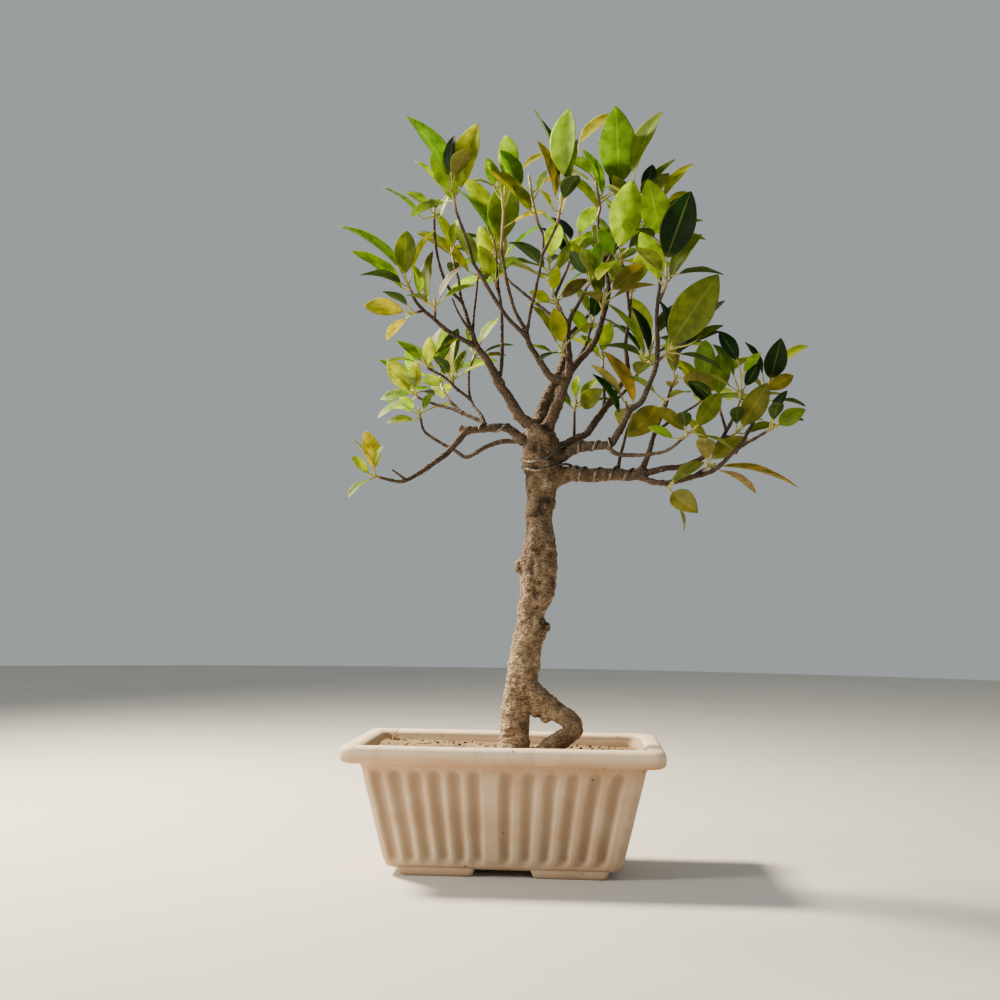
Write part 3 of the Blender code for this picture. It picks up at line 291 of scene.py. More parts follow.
def potProfile():
    # (inset from the rim's outline, height), from the flat underside up the wall, over the rim, down inside
    over, top, base = pot["overhang"], pot["height"], pot["footHeight"]
    foot = over + pot["lean"]
    floor = base + pot["floor"]
    rows = [(foot + 5.0, base)]
    rows += arc((foot + 4.6, base + 5.0), 5.0, 270, 183, 9)
    wallTop = bodyTop - 2.5
    heights = np.linspace(base + 6.0, wallTop, 44)
    rows += [(over + wallSlope * (bodyTop - z), z) for z in heights]
    rows += arc((over - 2.6, wallTop), 2.8, 0, 82, 6)           # fillet under the rim
    rows += arc((4.4, bodyTop + 4.4), 4.4, 262, 185, 8)          # lower roll
    rows += [(0.05, bodyTop + 6.0)]
    rows += arc((4.2, top - 4.2), 4.2, 178, 92, 10)              # upper roll
    rows += [(6.4, top + 0.05)]
    rows += arc((pot["lip"] - 4.8, top - 5.0), 5.0, 84, 8, 10)
    inner = [(pot["lip"] + wallSlope * (top - z), z) for z in np.linspace(top - 6.0, floor + 6.0, 14)]
    rows += inner
    edge = inner[-1][0]
    rows += arc((edge + 4.0, floor + 4.0), 4.0, 184, 270, 5)
    return np.array(rows)


def fluteDepth(across, z, places):
    # a round-bottomed groove at each place, (1 - away^2)^0.8 deep, round at its top and fading at its base
    nearest = np.abs(across[..., None] - np.asarray(places)).min(axis=-1)
    past = np.clip(z - (pot["fluteTop"] - pot["fluteHalf"]), 0, None)
    away = np.clip(np.hypot(nearest, past) / pot["fluteHalf"], 0, 1)
    fade = np.clip((z - pot["footHeight"] - 1.5) / 9.0, 0, 1)
    return pot["fluteDepth"] * (1 - away ** 2) ** 0.8 * fade * fade * (3 - 2 * fade)


def makePot(finish):
    way = rectangleWay(pot["longSteps"], pot["shortSteps"], pot["cornerSteps"])
    rows = potProfile()
    inset, z = rows[:, 0], rows[:, 1]
    corner = np.interp(inset, [0, 12, 30], [8.5, 7.5, 6.5])
    rings = rectangleRings(pot["rim"][0] / 2 - inset, pot["rim"][1] / 2 - inset, corner, z, way)
    around = rings.shape[1]
    outer = (np.arange(len(rows)) < np.argmax(z > bodyTop))[:, None]
    groups = (pot["flutesLeft"], pot["fluteMiddle"], pot["flutesRight"])
    longPlaces = [first + step * i for first, step, number in groups for i in range(number)]
    first, step, number = pot["flutesEnd"]
    endPlaces = [first + step * i for i in range(number)]
    shrink = (pot["rim"][0] / 2 - inset)[:, None] / (pot["rim"][0] / 2 - pot["overhang"])
    onLong = np.abs(way[1][:, 1]) > 0.6
    across = np.where(onLong, rings[..., 0], rings[..., 1]) / shrink
    depth = np.where(onLong, fluteDepth(across, z[:, None], longPlaces),
                     fluteDepth(across, z[:, None], endPlaces))
    depth = depth * outer
    rings[..., :2] -= way[1] * depth[..., None]
    points = rings.reshape(-1, 3)
    warp = pot["warp"] * np.clip((points[:, 2] - 70) / 20, 0, 1)
    points = points + warp[:, None] * np.stack([noise(points, 55, 3), noise(points, 48, 4),
                                                0.9 * noise(points, 60, 5)], axis=1)
    points += 0.12 * noise(points, 9, 6)[:, None]
    # the underside and the inside floor run in to a pole by shrinking their last ring
    below = [rings[0] * [k, k, 1] for k in (0.3, 0.65)]
    inside = [rings[-1] * [k, k, 1] for k in (0.7, 0.35)]
    points = np.vstack(below + [points] + inside + [[[0, 0, pot["footHeight"]]],
                                                    [[0, 0, pot["footHeight"] + pot["floor"]]]])
    count = len(rows) + 4
    faces = [gridFaces(count, around, True), capFaces(0, around, len(points) - 2, True),
             capFaces((count - 1) * around, around, len(points) - 1, False)]
    groove = np.zeros(len(points))
    groove[2 * around:2 * around + depth.size] = depth.ravel() / pot["fluteDepth"]
    # the inside is coloured darker, from just below the lip down to the floor
    insideWall = np.zeros(len(points))
    summit = np.argmax(z)
    insideWall[(2 + summit + np.argmax(inset[summit:] > pot["lip"] - 0.8)) * around:] = 1.0
    made = putMesh("ribbed_pot", points, allFaces(faces), finish,
                   {"groove": groove, "insideWall": insideWall})
    cutWith(made, [footShape(x, y) for x in (-1, 1) for y in (-1, 1)], "UNION")
    cutWith(made, [drainShape(x) for x in (-1, 1)], "DIFFERENCE")
    made.data.shade_smooth()
    return declare(made, "pot")


def cutWith(made, others, operation):
    for other in others:
        step = made.modifiers.new("shape", "BOOLEAN")
        step.operation = operation
        step.solver = "EXACT"
        step.object = other
    freeze(made)
    for other in others:
        bpy.data.objects.remove(other, do_unlink=True)


def footShape(sideX, sideY):
    # a low pad with rounded corners, narrower at the table, its lower edge a little round
    way = rectangleWay(8, 4, 5)
    top, base = np.array(pot["footTop"]) / 2, np.array(pot["footBase"]) / 2
    share = np.array([0.0, 0.0, 0.1, 0.3, 1.0])
    inset = np.array([1.6, 0.7, 0.2, 0.0, 0.0])
    z = np.array([0.0, 0.15, 0.6, 1.4, pot["footHeight"] + 1.0])
    half = base + (top - base) * share[:, None] - inset[:, None]
    rings = rectangleRings(half[:, 0], half[:, 1], np.full(len(share), pot["footCorner"]), z, way)
    points = rings.reshape(-1, 3) + [sideX * pot["footPlace"][0], sideY * pot["footPlace"][1], 0]
    around = rings.shape[1]
    middle = [sideX * pot["footPlace"][0], sideY * pot["footPlace"][1]]
    points = np.vstack([points, [middle + [0.0]], [middle + [z[-1]]]])
    faces = [gridFaces(len(share), around, True), capFaces(0, around, len(points) - 2, True),
             capFaces((len(share) - 1) * around, around, len(points) - 1, False)]
    return putMesh("foot", points, allFaces(faces), [])


def drainShape(side):
    place = side * pot["drainSpacing"] / 2
    points, faces = tube([(place, 0, -6), (place, 0, 5), (place, 0, 30)], pot["drainRadius"], 40)
    return putMesh("drain", points, allFaces(faces), [])


soil = {
    "level": 82.0, "slope": 0.018, "mound": 1.6, "gap": 0.35, "rings": 58, "corner": 7.5,
    "crumbs": 900, "crumbSize": (0.3, 1.5), "bits": 26, "seed": 11,
}


def soilHeight(x, y):
    # a gentle slope, a mound at the trunk and a slow ripple
    mound = soil["mound"] * np.exp(-((x - 5) ** 2 + y ** 2) / 900.0)
    return soil["level"] - soil["slope"] * x + mound + 0.7 * np.sin(x / 13.0) * np.cos(y / 11.0)


def rawSoil(x, y):
    # clods, crumbs and grains on the smooth shape
    flat = np.stack([x, y, np.zeros_like(x)], axis=1)
    grains = 0.6 * noise(flat, 12, 21) + 0.3 * noise(flat, 5, 22) + 0.16 * noise(flat, 1.9, 23)
    return soilHeight(x, y) + grains


def fillHalf(z):
    # half the length and half the width of the space in the pot at a height
    inset = pot["lip"] + wallSlope * (pot["height"] - z) + soil["gap"]
    return pot["rim"][0] / 2 - inset, pot["rim"][1] / 2 - inset


def makeSoil(finish):
    way = rectangleWay(150, 88, 6)
    halfLong, halfShort = fillHalf(soil["level"])
    shares = np.concatenate([np.linspace(0.02, 1, soil["rings"]) ** 0.8])[::-1]
    top = rectangleRings(halfLong * shares, halfShort * shares, soil["corner"] * shares,
                         np.zeros(len(shares)), way)
    around = top.shape[1]
    flat = top.reshape(-1, 3)
    flat[:, 2] = rawSoil(flat[:, 0], flat[:, 1])
    floor = pot["footHeight"] + pot["floor"] + soil["gap"]
    wall = []
    for z in (floor, 40.0, 70.0):
        a, b = fillHalf(z)
        wall.append(rectangleRings(a, b, soil["corner"], z, way)[0])
    below = [wall[0] * [k, k, 1] for k in (0.3, 0.7)]
    summit = float(rawSoil(np.zeros(1), np.zeros(1))[0])
    points = np.vstack(below + wall + [flat, [[0, 0, floor]], [[0, 0, summit]]])
    count = 5 + len(shares)
    faces = [gridFaces(count, around, True), capFaces(0, around, len(points) - 2, True),
             capFaces((count - 1) * around, around, len(points) - 1, False)]
    made = putMesh("sandy_soil", points, allFaces(faces), finish)
    return declare(made, "soil")


def scatterPlaces(dice, count, bias=0.0):
    # places on the soil, clear of the trunk; a bias heaps them against the edges
    halfLong, halfShort = fillHalf(soil["level"])
    places = dice.uniform(-1, 1, (count * 2, 2))
    places = np.sign(places) * np.abs(places) ** (1 - bias) * [halfLong - 1.5, halfShort - 1.5]
    clear = np.hypot(places[:, 0] - 5, places[:, 1]) > 13
    return places[clear][:count]


def makeCrumbs(finish):
    # twelve-cornered grains, each with its own size, squash and turn
    dice = np.random.default_rng(soil["seed"])
    bm = bmesh.new()
    bmesh.ops.create_icosphere(bm, subdivisions=1, radius=1.0)
    ball = np.array([vert.co for vert in bm.verts])
    corners = np.array([[vert.index for vert in face.verts] for face in bm.faces])
    bm.free()
    places = scatterPlaces(dice, soil["crumbs"], 0.15)
    count = len(places)
    size = soil["crumbSize"][0] + (soil["crumbSize"][1] - soil["crumbSize"][0]) * dice.random(count) ** 4
    size = size[:, None, None] * dice.uniform(0.65, 1.2, (count, 1, 3)) * [1, 1, 0.8]
    shapes = ball * size * dice.uniform(0.78, 1.18, (count, len(ball), 1))
    turn = dice.uniform(0, 2 * math.pi, count)[:, None]
    x = shapes[..., 0] * np.cos(turn) - shapes[..., 1] * np.sin(turn)
    y = shapes[..., 0] * np.sin(turn) + shapes[..., 1] * np.cos(turn)
    height = rawSoil(places[:, 0], places[:, 1])[:, None] + 0.3 * size[:, :, 2]
    points = np.stack([x + places[:, :1], y + places[:, 1:], shapes[..., 2] + height], axis=-1).reshape(-1, 3)
    faces = (corners[None] + (np.arange(count) * len(ball))[:, None, None]).reshape(-1, 3)
    shade = np.repeat(dice.random(count), len(ball))
    made = putMesh("soil_crumbs", points, faces.tolist(), finish, {"shade": shade})
    return declare(made)


def makeDryBits(finish):
    # straws and twig ends lying on the soil, and a tuft of dry grass that leans on the rim's back corner
    dice = np.random.default_rng(soil["seed"] + 1)
    pieces, shades = [], []
    for place in scatterPlaces(dice, soil["bits"]):
        turn = dice.uniform(0, 2 * math.pi)
        length = dice.uniform(3, 9)
        share = np.linspace(-0.5, 0.5, 5)[:, None]
        bend = dice.uniform(-1, 1)
        flat = place + length * share * [math.cos(turn), math.sin(turn)] \
            + bend * share ** 2 * length * 0.5 * np.array([-math.sin(turn), math.cos(turn)])
        lift = rawSoil(flat[:, 0], flat[:, 1])[:, None] + 0.45
        radius = dice.uniform(0.2, 0.5)
        pieces.append(tube(np.hstack([flat, lift]), np.array([0.5, 1, 1, 0.9, 0.4]) * radius, 5))
        shades.append(dice.random())
    halfLong, halfShort = fillHalf(soil["level"])
    for _ in range(15):
        foot = np.array([-halfLong + 5 + 3.5 * dice.random(), halfShort - 5 - 4 * dice.random(), 0.0])
        foot[2] = rawSoil(foot[:1], foot[1:2])[0] - 1
        turn = dice.uniform(0, 2 * math.pi)
        reach, rise = dice.uniform(3, 10), dice.uniform(5, 15)
        t = np.linspace(0, 1, 8)[:, None]
        away = np.array([math.cos(turn), math.sin(turn), 0])
        route = foot + away * reach * t ** 1.6 + np.array([0, 0, rise]) * (t * 1.6 - t ** 2.2 * 0.9)
        pieces.append(tube(route, 0.32 * (1.05 - t[:, 0]), 4))
        shades.append(0.6 + 0.4 * dice.random())
    points, faces = join(pieces)
    shade = np.concatenate([np.full(len(some), value) for (some, _), value in zip(pieces, shades)])
    return declare(putMesh("dry_bits", points, faces, finish, {"shade": shade}))


# The trunk's and the prop root's points are (x, y, z, radius); a knot is its centre, radius and stretch.
trunkRoute = [(5, 0, 62, 8), (5, 0, 74, 11.5), (5, 0, 84, 11), (6, 0, 107, 10.2), (10, 0, 131, 11.3),
              (13, 0, 157, 10.4), (16, 0, 170, 11.0), (16, 0, 182, 9.7), (20, 0, 196, 12.2),
              (21, 0, 215, 13.6), (22, 0, 231, 12.2), (21, 0, 245, 10), (22, 0, 260, 10.6),
              (22, 0, 273, 11.6), (23, 0, 285, 13.6), (22, 0, 300, 13), (21, 0, 312, 11), (21, 0, 318, 7)]
propRootRoute = [(11, 0, 128, 9), (20, -1, 121, 8.6), (32, -3, 113, 7.6), (43, -7, 106, 6.8),
                 (48, -10, 99, 6.5), (41, -13, 93, 6.4), (32, -14, 88, 6.0), (25, -13, 82, 5.8),
                 (18, -12, 70, 5.0)]
knotPlaces = [((7, -2, 214), 4.2, 1.2), ((27, -3, 171), 4.0, 1.1), ((29, -3, 258), 3.6, 1.4),
              ((31, -2, 300), 5.5, 1.0), ((-8, -5, 348), 3.4, 1.1), ((14, -3, 245), 3.0, 1.5),
              ((36, 0, 342), 5.0, 1.3), ((13, 4, 309), 6.0, 0.9),
              ((21, -2, 112), 6.0, 1.0), ((28, -4, 107), 4.6, 1.0)]

# A branch is its first and last radius and its route. Each starts inside the wood that it grows from.
branchRoutes = {
    "left_riser": (4.6, 2.0, [(20, 0, 309), (15, -1, 317), (6, -2, 324), (-3, -4, 339), (-9, -5, 347),
                              (-12, -6, 354), (-19, -8, 366), (-24, -8, 372), (-27, -9, 377),
                              (-30, -10, 386)]),
    "left_arm": (2.0, 1.2, [(-25, -9, 374), (-38, -13, 380), (-49, -18, 386), (-56, -21, 392),
                            (-65, -25, 399), (-70, -28, 405), (-72, -30, 410)]),
    "left_arm_twig": (1.1, 1.0, [(-56, -22, 391), (-55, -27, 397)]),
    "left_leader": (1.8, 1.1, [(-30, -10, 384), (-35, -6, 401), (-39, -3, 412), (-41, 0, 426),
                               (-45, 4, 440)]),
    "left_spur": (1.2, 1.0, [(-37, -5, 408), (-47, -8, 418), (-52, -10, 428), (-56, -12, 442),
                             (-58, -15, 458), (-58, -18, 468)]),
    "dead_twig": (1.0, 0.6, [(-31, -10, 386), (-39, -13, 398), (-44, -16, 409)]),
    "pale_twig": (1.1, 0.9, [(-29, -9, 384), (-29, -4, 399), (-28, 4, 418), (-28, 9, 428)]),
    "left_upright": (1.7, 1.1, [(-10, -4, 349), (-8, -2, 362), (-8, 1, 378), (-9, 4, 404), (-12, 8, 424),
                                (-14, 12, 446)]),
    "old_stem": (6.0, 3.6, [(18, 4, 308), (22, 9, 328), (27, 13, 342), (34, 17, 358)]),
    "middle_riser": (5.0, 2.6, [(22, 0, 308), (29, -2, 322), (35, -4, 336), (39, -5, 347), (43, -6, 358)]),
    "front_riser": (3.0, 1.9, [(40, -5, 350), (29, -8, 352), (22, -12, 361), (17, -17, 368), (13, -21, 374),
                               (11, -25, 381)]),
    "front_left": (1.8, 1.1, [(11, -25, 379), (4, -27, 385), (-3, -29, 392), (-8, -31, 399),
                              (-14, -33, 408), (-19, -36, 416), (-23, -37, 423), (-27, -39, 429),
                              (-30, -42, 440), (-34, -44, 451), (-39, -48, 464)]),
    "front_middle": (1.4, 1.0, [(10, -25, 384), (3, -29, 396), (0, -32, 405), (-3, -34, 416),
                                (-5, -37, 427), (-7, -40, 438)]),
    "front_right": (1.5, 1.0, [(11, -24, 379), (14, -29, 396), (18, -34, 412), (22, -39, 432),
                               (23, -42, 446), (19, -45, 456)]),
    "front_right_twig": (1.1, 0.9, [(22, -40, 434), (28, -45, 444), (33, -49, 454)]),
    "centre_riser": (2.6, 1.2, [(42, -6, 356), (42, -8, 366), (41, -8, 380), (42, -9, 394), (48, -9, 406),
                                (54, -10, 418)]),
    "centre_twig": (1.2, 0.9, [(41, -9, 392), (37, -5, 399), (35, -1, 405)]),
    "centre_spur": (1.1, 0.9, [(42, -7, 362), (39, -13, 367)]),
    "back_riser": (2.8, 1.1, [(40, -3, 354), (48, 4, 366), (58, 9, 378), (63, 12, 389), (67, 16, 404),
                              (71, 22, 425), (67, 29, 448), (63, 36, 474), (63, 39, 488)]),
    "back_riser_twig": (1.3, 0.9, [(46, 2, 364), (54, 11, 380), (56, 15, 388), (58, 19, 395)]),
    "right_peak_twig": (1.3, 1.0, [(68, 27, 442), (78, 22, 464), (88, 14, 482)]),
    "right_riser": (3.2, 1.2, [(26, 0, 298), (36, 2, 302), (46, 4, 308), (55, 7, 313), (62, 9, 323),
                               (68, 12, 332), (77, 15, 346), (85, 19, 360), (85, 21, 371), (84, 24, 384),
                               (87, 29, 406), (88, 32, 420)]),
    "right_front_twig": (1.1, 0.9, [(87, 30, 412), (84, 14, 426), (80, -8, 437)]),
    "inner_upright": (1.2, 0.9, [(68, 14, 334), (68, 20, 350), (67, 23, 366)]),
    "fork_sprout": (1.1, 0.9, [(46, 4, 306), (46, 10, 320), (46, 13, 330)]),
    "second_right": (4.4, 2.6, [(24, -1, 294), (36, -2, 294), (46, -4, 300), (56, -6, 302), (65, -8, 302),
                                (73, -9, 304), (79, -12, 314)]),
    "second_right_riser": (2.4, 1.1, [(78, -11, 311), (82, -13, 319), (86, -14, 327), (94, -16, 333),
                                      (99, -19, 344), (104, -22, 358), (105, -25, 374), (104, -28, 394),
                                      (106, -33, 416), (106, -38, 440)]),
    "right_big_twig": (1.2, 1.0, [(104, -23, 360), (109, -28, 364)]),
    "right_knee_twig": (1.1, 0.9, [(86, -14, 326), (85, -3, 330)]),
    "second_right_arm": (1.9, 1.1, [(70, -9, 302), (76, -19, 295), (88, -26, 293), (99, -31, 293),
                                    (111, -38, 295), (121, -46, 302)]),
    "lowest_right": (6.4, 3.2, [(24, 0, 279), (36, -2, 280), (43, -4, 282), (56, -6, 281), (69, -9, 281),
                                (79, -10, 281), (88, -12, 280), (96, -14, 285)]),
    "lowest_twig": (1.3, 0.8, [(78, -9, 281), (79, -4, 292), (82, 0, 304), (85, 3, 316), (90, 6, 328)]),
    "lowest_riser": (2.2, 1.1, [(95, -13, 284), (100, -10, 297), (103, -6, 308), (108, 0, 322),
                                (113, 6, 334), (118, 12, 350)]),
    "outer_right": (2.6, 1.2, [(90, -12, 280), (103, -15, 283), (112, -17, 285), (123, -19, 286),
                               (137, -23, 292), (147, -26, 301), (154, -29, 312), (160, -32, 325)]),
    "under_right": (2.4, 1.2, [(92, -13, 280), (102, -18, 275), (113, -23, 274), (128, -30, 277),
                               (144, -37, 282), (158, -46, 295), (170, -53, 302), (177, -57, 306)]),
    "edge_twig": (1.3, 1.0, [(157, -45, 293), (168, -38, 310), (177, -28, 328)]),
    "under_twig": (1.2, 1.0, [(127, -30, 276), (136, -34, 282)]),
    "hanging_twig": (1.1, 1.0, [(109, -21, 275), (112, -26, 271)]),
    "left_low": (3.6, 1.2, [(20, -2, 302), (8, -6, 307), (0, -8, 313), (-8, -10, 315), (-20, -13, 313),
                            (-31, -16, 311), (-36, -19, 305), (-45, -23, 294), (-54, -28, 286),
                            (-64, -32, 278), (-75, -36, 272), (-85, -39, 273), (-90, -42, 274)]),
    "left_low_stub": (2.6, 2.4, [(-30, -16, 311), (-37, -15, 313)]),
    "left_dead_twig": (0.9, 0.6, [(-72, -35, 273), (-82, -38, 280)]),
    "left_back": (1.7, 1.1, [(-17, -11, 314), (-22, -2, 320), (-31, 5, 325), (-45, 15, 332), (-59, 25, 337),
                             (-74, 35, 344)]),
    "left_middle": (1.6, 1.1, [(-18, -11, 314), (-22, -6, 324), (-28, 1, 332), (-32, 6, 340)]),
    "left_middle_inner": (1.1, 0.9, [(-32, 6, 339), (-33, 9, 350), (-33, 11, 360), (-31, 14, 368)]),
    "left_middle_outer": (1.2, 0.9, [(-31, 5, 338), (-41, 2, 345), (-50, -2, 353), (-62, -6, 359)]),
    "left_middle_twig": (1.0, 0.9, [(-40, 2, 344), (-44, 2, 348)]),
    "left_under": (2.2, 1.1, [(20, 3, 304), (6, 8, 307), (-8, 10, 307), (-20, 12, 303), (-34, 16, 296),
                              (-43, 18, 301), (-54, 21, 307), (-67, 24, 316), (-71, 27, 327)]),
    "left_upright_twig": (1.1, 0.9, [(-11, 7, 419), (-13, 4, 423)]),
    "left_arm_low_twig": (1.1, 0.9, [(-64, -24, 398), (-68, -26, 396)]),
    "back_riser_front_twig": (1.2, 0.9, [(67, 16, 402), (66, 8, 402)]),
    "right_dark_twig": (1.3, 1.0, [(105, -30, 402), (108, -35, 408)]),
    "right_long_twig": (1.1, 0.9, [(105, -23, 358), (101, -19, 360)]),
    "lower_middle_twig": (1.1, 0.9, [(153, -28, 311), (150, -22, 324)]),
    "lower_khaki_twig": (1.1, 0.9, [(112, 6, 332), (112, 1, 335)]),
    "lower_big_twig": (1.2, 0.9, [(151, -27, 306), (156, -33, 306)]),
    "rear_riser": (3.4, 1.6, [(33, 16, 356), (38, 36, 380), (36, 54, 408), (28, 66, 434)]),
    "rear_right": (1.8, 1.1, [(37, 44, 392), (54, 60, 412), (70, 72, 438)]),
    "rear_left": (1.8, 1.1, [(36, 53, 406), (16, 64, 424), (-6, 72, 444)]),
    "rear_far_right": (1.8, 1.1, [(67, 12, 331), (84, 38, 350), (98, 58, 372)]),
    "rear_low_right": (1.5, 1.0, [(104, -5, 312), (122, 22, 328), (138, 42, 340)]),
    "rear_low_left": (1.3, 1.0, [(-37, 9, 328), (-48, 32, 340), (-56, 50, 352)]),
    "rear_peak": (1.4, 1.0, [(29, 64, 430), (38, 76, 454)]),
    "rear_right_peak": (1.3, 1.0, [(66, 30, 450), (84, 48, 470)]),
}

wood = {
    "voxel": 0.8, "heavy": 1.5, "collar": 0.45, "lump": 1.4, "ring": 0.7, "fine": 0.4,
}


def girths(route, first, last, key):
    # radii from first to last, with a collar where a branch leaves its parent and swellings at the leaf scars
    share = np.linspace(0, 1, len(route))
    travelled = np.concatenate([[0], np.cumsum(np.linalg.norm(np.diff(route, axis=0), axis=1))])
    scar = 0.5 + 0.5 * np.cos(2 * math.pi * travelled / 7.5 + key)
    uneven = noise(np.stack([travelled, np.full_like(travelled, key * 3.7), travelled * 0], axis=1), 6, 9)
    radii = first + (last - first) * share
    collar = wood["collar"] * np.exp(-travelled / (1.6 * first))
    return radii * (1 + collar + 0.12 * scar ** 6 + 0.07 * uneven)


def ball(centre, radius, stretch):
    # an ellipsoid turned about its upright axis
    angle = np.linspace(0, math.pi, 10)[1:-1]
    route = np.array(centre) + np.stack([angle * 0, angle * 0, -np.cos(angle) * radius * stretch], axis=1)
    return tube(route, np.sin(angle) * radius, 14)


def woodTubes():
    # each run of wood as a tube, and every run's points with their radii, for the bark's relief
    heavy, light, samples = [], [], []
    for table in (trunkRoute, propRootRoute):
        route = smoothRoute(table, 2.0)
        heavy.append(tube(route[:, :3], route[:, 3], 28))
        samples.append(route)
    for centre, radius, stretch in knotPlaces:
        heavy.append(ball(centre, radius, stretch))
    for key, (first, last, table) in enumerate(branchRoutes.values()):
        route = smoothRoute(table, 1.6)
        radii = girths(route, first, last, key)
        sides = 16 if first > 3 else 12 if first > wood["heavy"] else 8
        (heavy if first >= wood["heavy"] else light).append(tube(route, radii, sides))
        samples.append(np.hstack([route, radii[:, None]]))
    return heavy, light, np.concatenate(samples)


def nearestGirth(points, samples):
    # the radius of the run of wood whose surface each point lies nearest to
    girth = np.zeros(len(points))
    for start in range(0, len(points), 4000):
        some = points[start:start + 4000]
        away = np.linalg.norm(some[:, None] - samples[None, :, :3], axis=2) - samples[:, 3]
        girth[start:start + 4000] = samples[np.argmin(away, axis=1), 3]
    return girth


def barkRelief(points, girth):
    # lumps and hollows on the old wood, level ridges low on the trunk, grain on the twigs
    old = np.clip((girth - 2.0) / 7.0, 0, 1)
    lump = noise(points, (8, 8, 10), 41) + 0.5 * noise(points, 4.2, 42)
    ring = 1 - 2 * np.abs(noise(points, (9, 9, 2.3), 43))
    low = np.clip((200 - points[:, 2]) / 60, 0, 1)
    fine = noise(points, 1.7, 44) + 0.6 * noise(points, 2.6, 45)
    pits = -np.clip(noise(points, (5, 5, 6), 46) - 0.42, 0, 1) * 3.2 * (1 - low)
    return old * (wood["lump"] * (0.55 + 0.45 * (1 - low)) * lump + wood["ring"] * ring * (0.4 + 0.6 * low)
                  + pits) + wood["fine"] * fine * (0.35 + 0.65 * old)


def makeWood(finish):
    heavy, light, samples = woodTubes()
    points, faces = join(heavy)
    made = putMesh("barked_wood", points, faces, finish)
    step = made.modifiers.new("grownTogether", "REMESH")
    step.mode = "VOXEL"
    step.voxel_size = wood["voxel"] * mm
    step = made.modifiers.new("softened", "SMOOTH")
    step.factor = 0.5
    step.iterations = 4
    freeze(made)
    count = len(made.data.vertices)
    flat = np.zeros(count * 3, np.float32)
    made.data.vertices.foreach_get("co", flat)
    grown = (flat.reshape(-1, 3) - potMiddle) / mm
    made.data.vertex_normals.foreach_get("vector", flat)
    normals = flat.reshape(-1, 3)
    grownFaces = [tuple(face.vertices) for face in made.data.polygons]
    bpy.data.objects.remove(made, do_unlink=True)
    girth = nearestGirth(grown, samples)
    relief = barkRelief(grown, girth)
    grown = grown + normals * relief[:, None]
    twigs, twigFaces = join(light)
    twigFaces = [tuple(i + count for i in face) for face in twigFaces]
    points = np.vstack([grown, twigs])
    girth = np.concatenate([girth, np.full(len(twigs), 1.0)])
    relief = np.concatenate([relief, 0.3 * noise(twigs, 1.5, 47)])
    made = putMesh("barked_wood", points, grownFaces + twigFaces, finish, {"girth": girth, "relief": relief})
    print("wood:", len(points), "points,", len(grownFaces) + len(twigFaces), "faces")
    return declare(made, "tree")


# A wire is the points it takes round the trunk, the branch it winds along, the stretch of that branch as
# shares of its length, the turns and the coil's radius.
wireRoutes = {
    "wire_lowest_branch": ([(14, 12, 289), (8, 8, 288), (6, 0, 286), (9, -9, 284), (16, -14, 283),
                            (24, -15, 284), (32, -12, 286), (38, -7, 289)],
                           "lowest_right", 0.27, 0.86, 4.0, 8.0),
    "wire_second_branch": ([(14, 13, 296), (8, 9, 295), (6, 1, 293), (9, -9, 290), (16, -14, 289),
                            (24, -14, 291), (31, -9, 296)],
                           "second_right", 0.3, 0.86, 3.0, 6.0),
    "wire_left_branch": ([(16, 15, 304), (9, 8, 304), (7, 2, 303), (5, -5, 304)],
                         "left_low", 0.13, 0.36, 1.75, 5.0),
}

wire = {"radius": 1.0, "sink": 0.25, "turnSteps": 14, "sides": 12}


def along(route, share):
    # the point and the direction at a share of a route's length
    route = np.asarray(route, float)
    travelled = np.concatenate([[0], np.cumsum(np.linalg.norm(np.diff(route, axis=0), axis=1))])
    where = share * travelled[-1]
    i = int(np.clip(np.searchsorted(travelled, where) - 1, 0, len(route) - 2))
    t = (where - travelled[i]) / (travelled[i + 1] - travelled[i])
    return route[i] + (route[i + 1] - route[i]) * t, unit(route[i + 1] - route[i])


def coilAbout(route, first, last, turns, radius):
    # a helix about a stretch of a branch: centre + radius (side cos a + other sin a), a falling steadily
    steps = round(turns * wire["turnSteps"])
    points = []
    for i in range(steps + 1):
        centre, ahead = along(route, first + (last - first) * i / steps)
        side = unit(np.cross(ahead, [0, 1, 0]))
        other = unit(np.cross(ahead, side))
        angle = -2 * math.pi * turns * i / steps
        points.append(centre + (side * math.cos(angle) + other * math.sin(angle)) * radius)
    return points


def makeWires(tree, finish):
    # each wire is laid on the bark: its guide's points move to the nearest bark, one radius out
    bm = bmesh.new()
    bm.from_mesh(tree.data)
    bark = BVHTree.FromBMesh(bm)
    bm.free()
    for name, (roundTrunk, branch, first, last, turns, radius) in wireRoutes.items():
        guide = smoothRoute(np.array(list(roundTrunk) + coilAbout(branchRoutes[branch][2], first, last, turns,
                                                                   radius), float), 3.0)
        laid = []
        for point in guide:
            surface, _, _, _ = bark.find_nearest(Vector(world(point)))
            surface = (np.array(surface) - potMiddle) / mm
            out = unit(point - surface)
            laid.append(surface + out * (wire["radius"] - wire["sink"]))
        for _ in range(3):
            laid = [laid[0]] + [0.25 * a + 0.5 * b + 0.25 * c for a, b, c in zip(laid, laid[1:], laid[2:])] \
                + [laid[-1]]
        points, faces = tube(smoothRoute(laid, 0.9), wire["radius"], wire["sides"])
        declare(putMesh("training_" + name, points, allFaces(faces), finish), name)


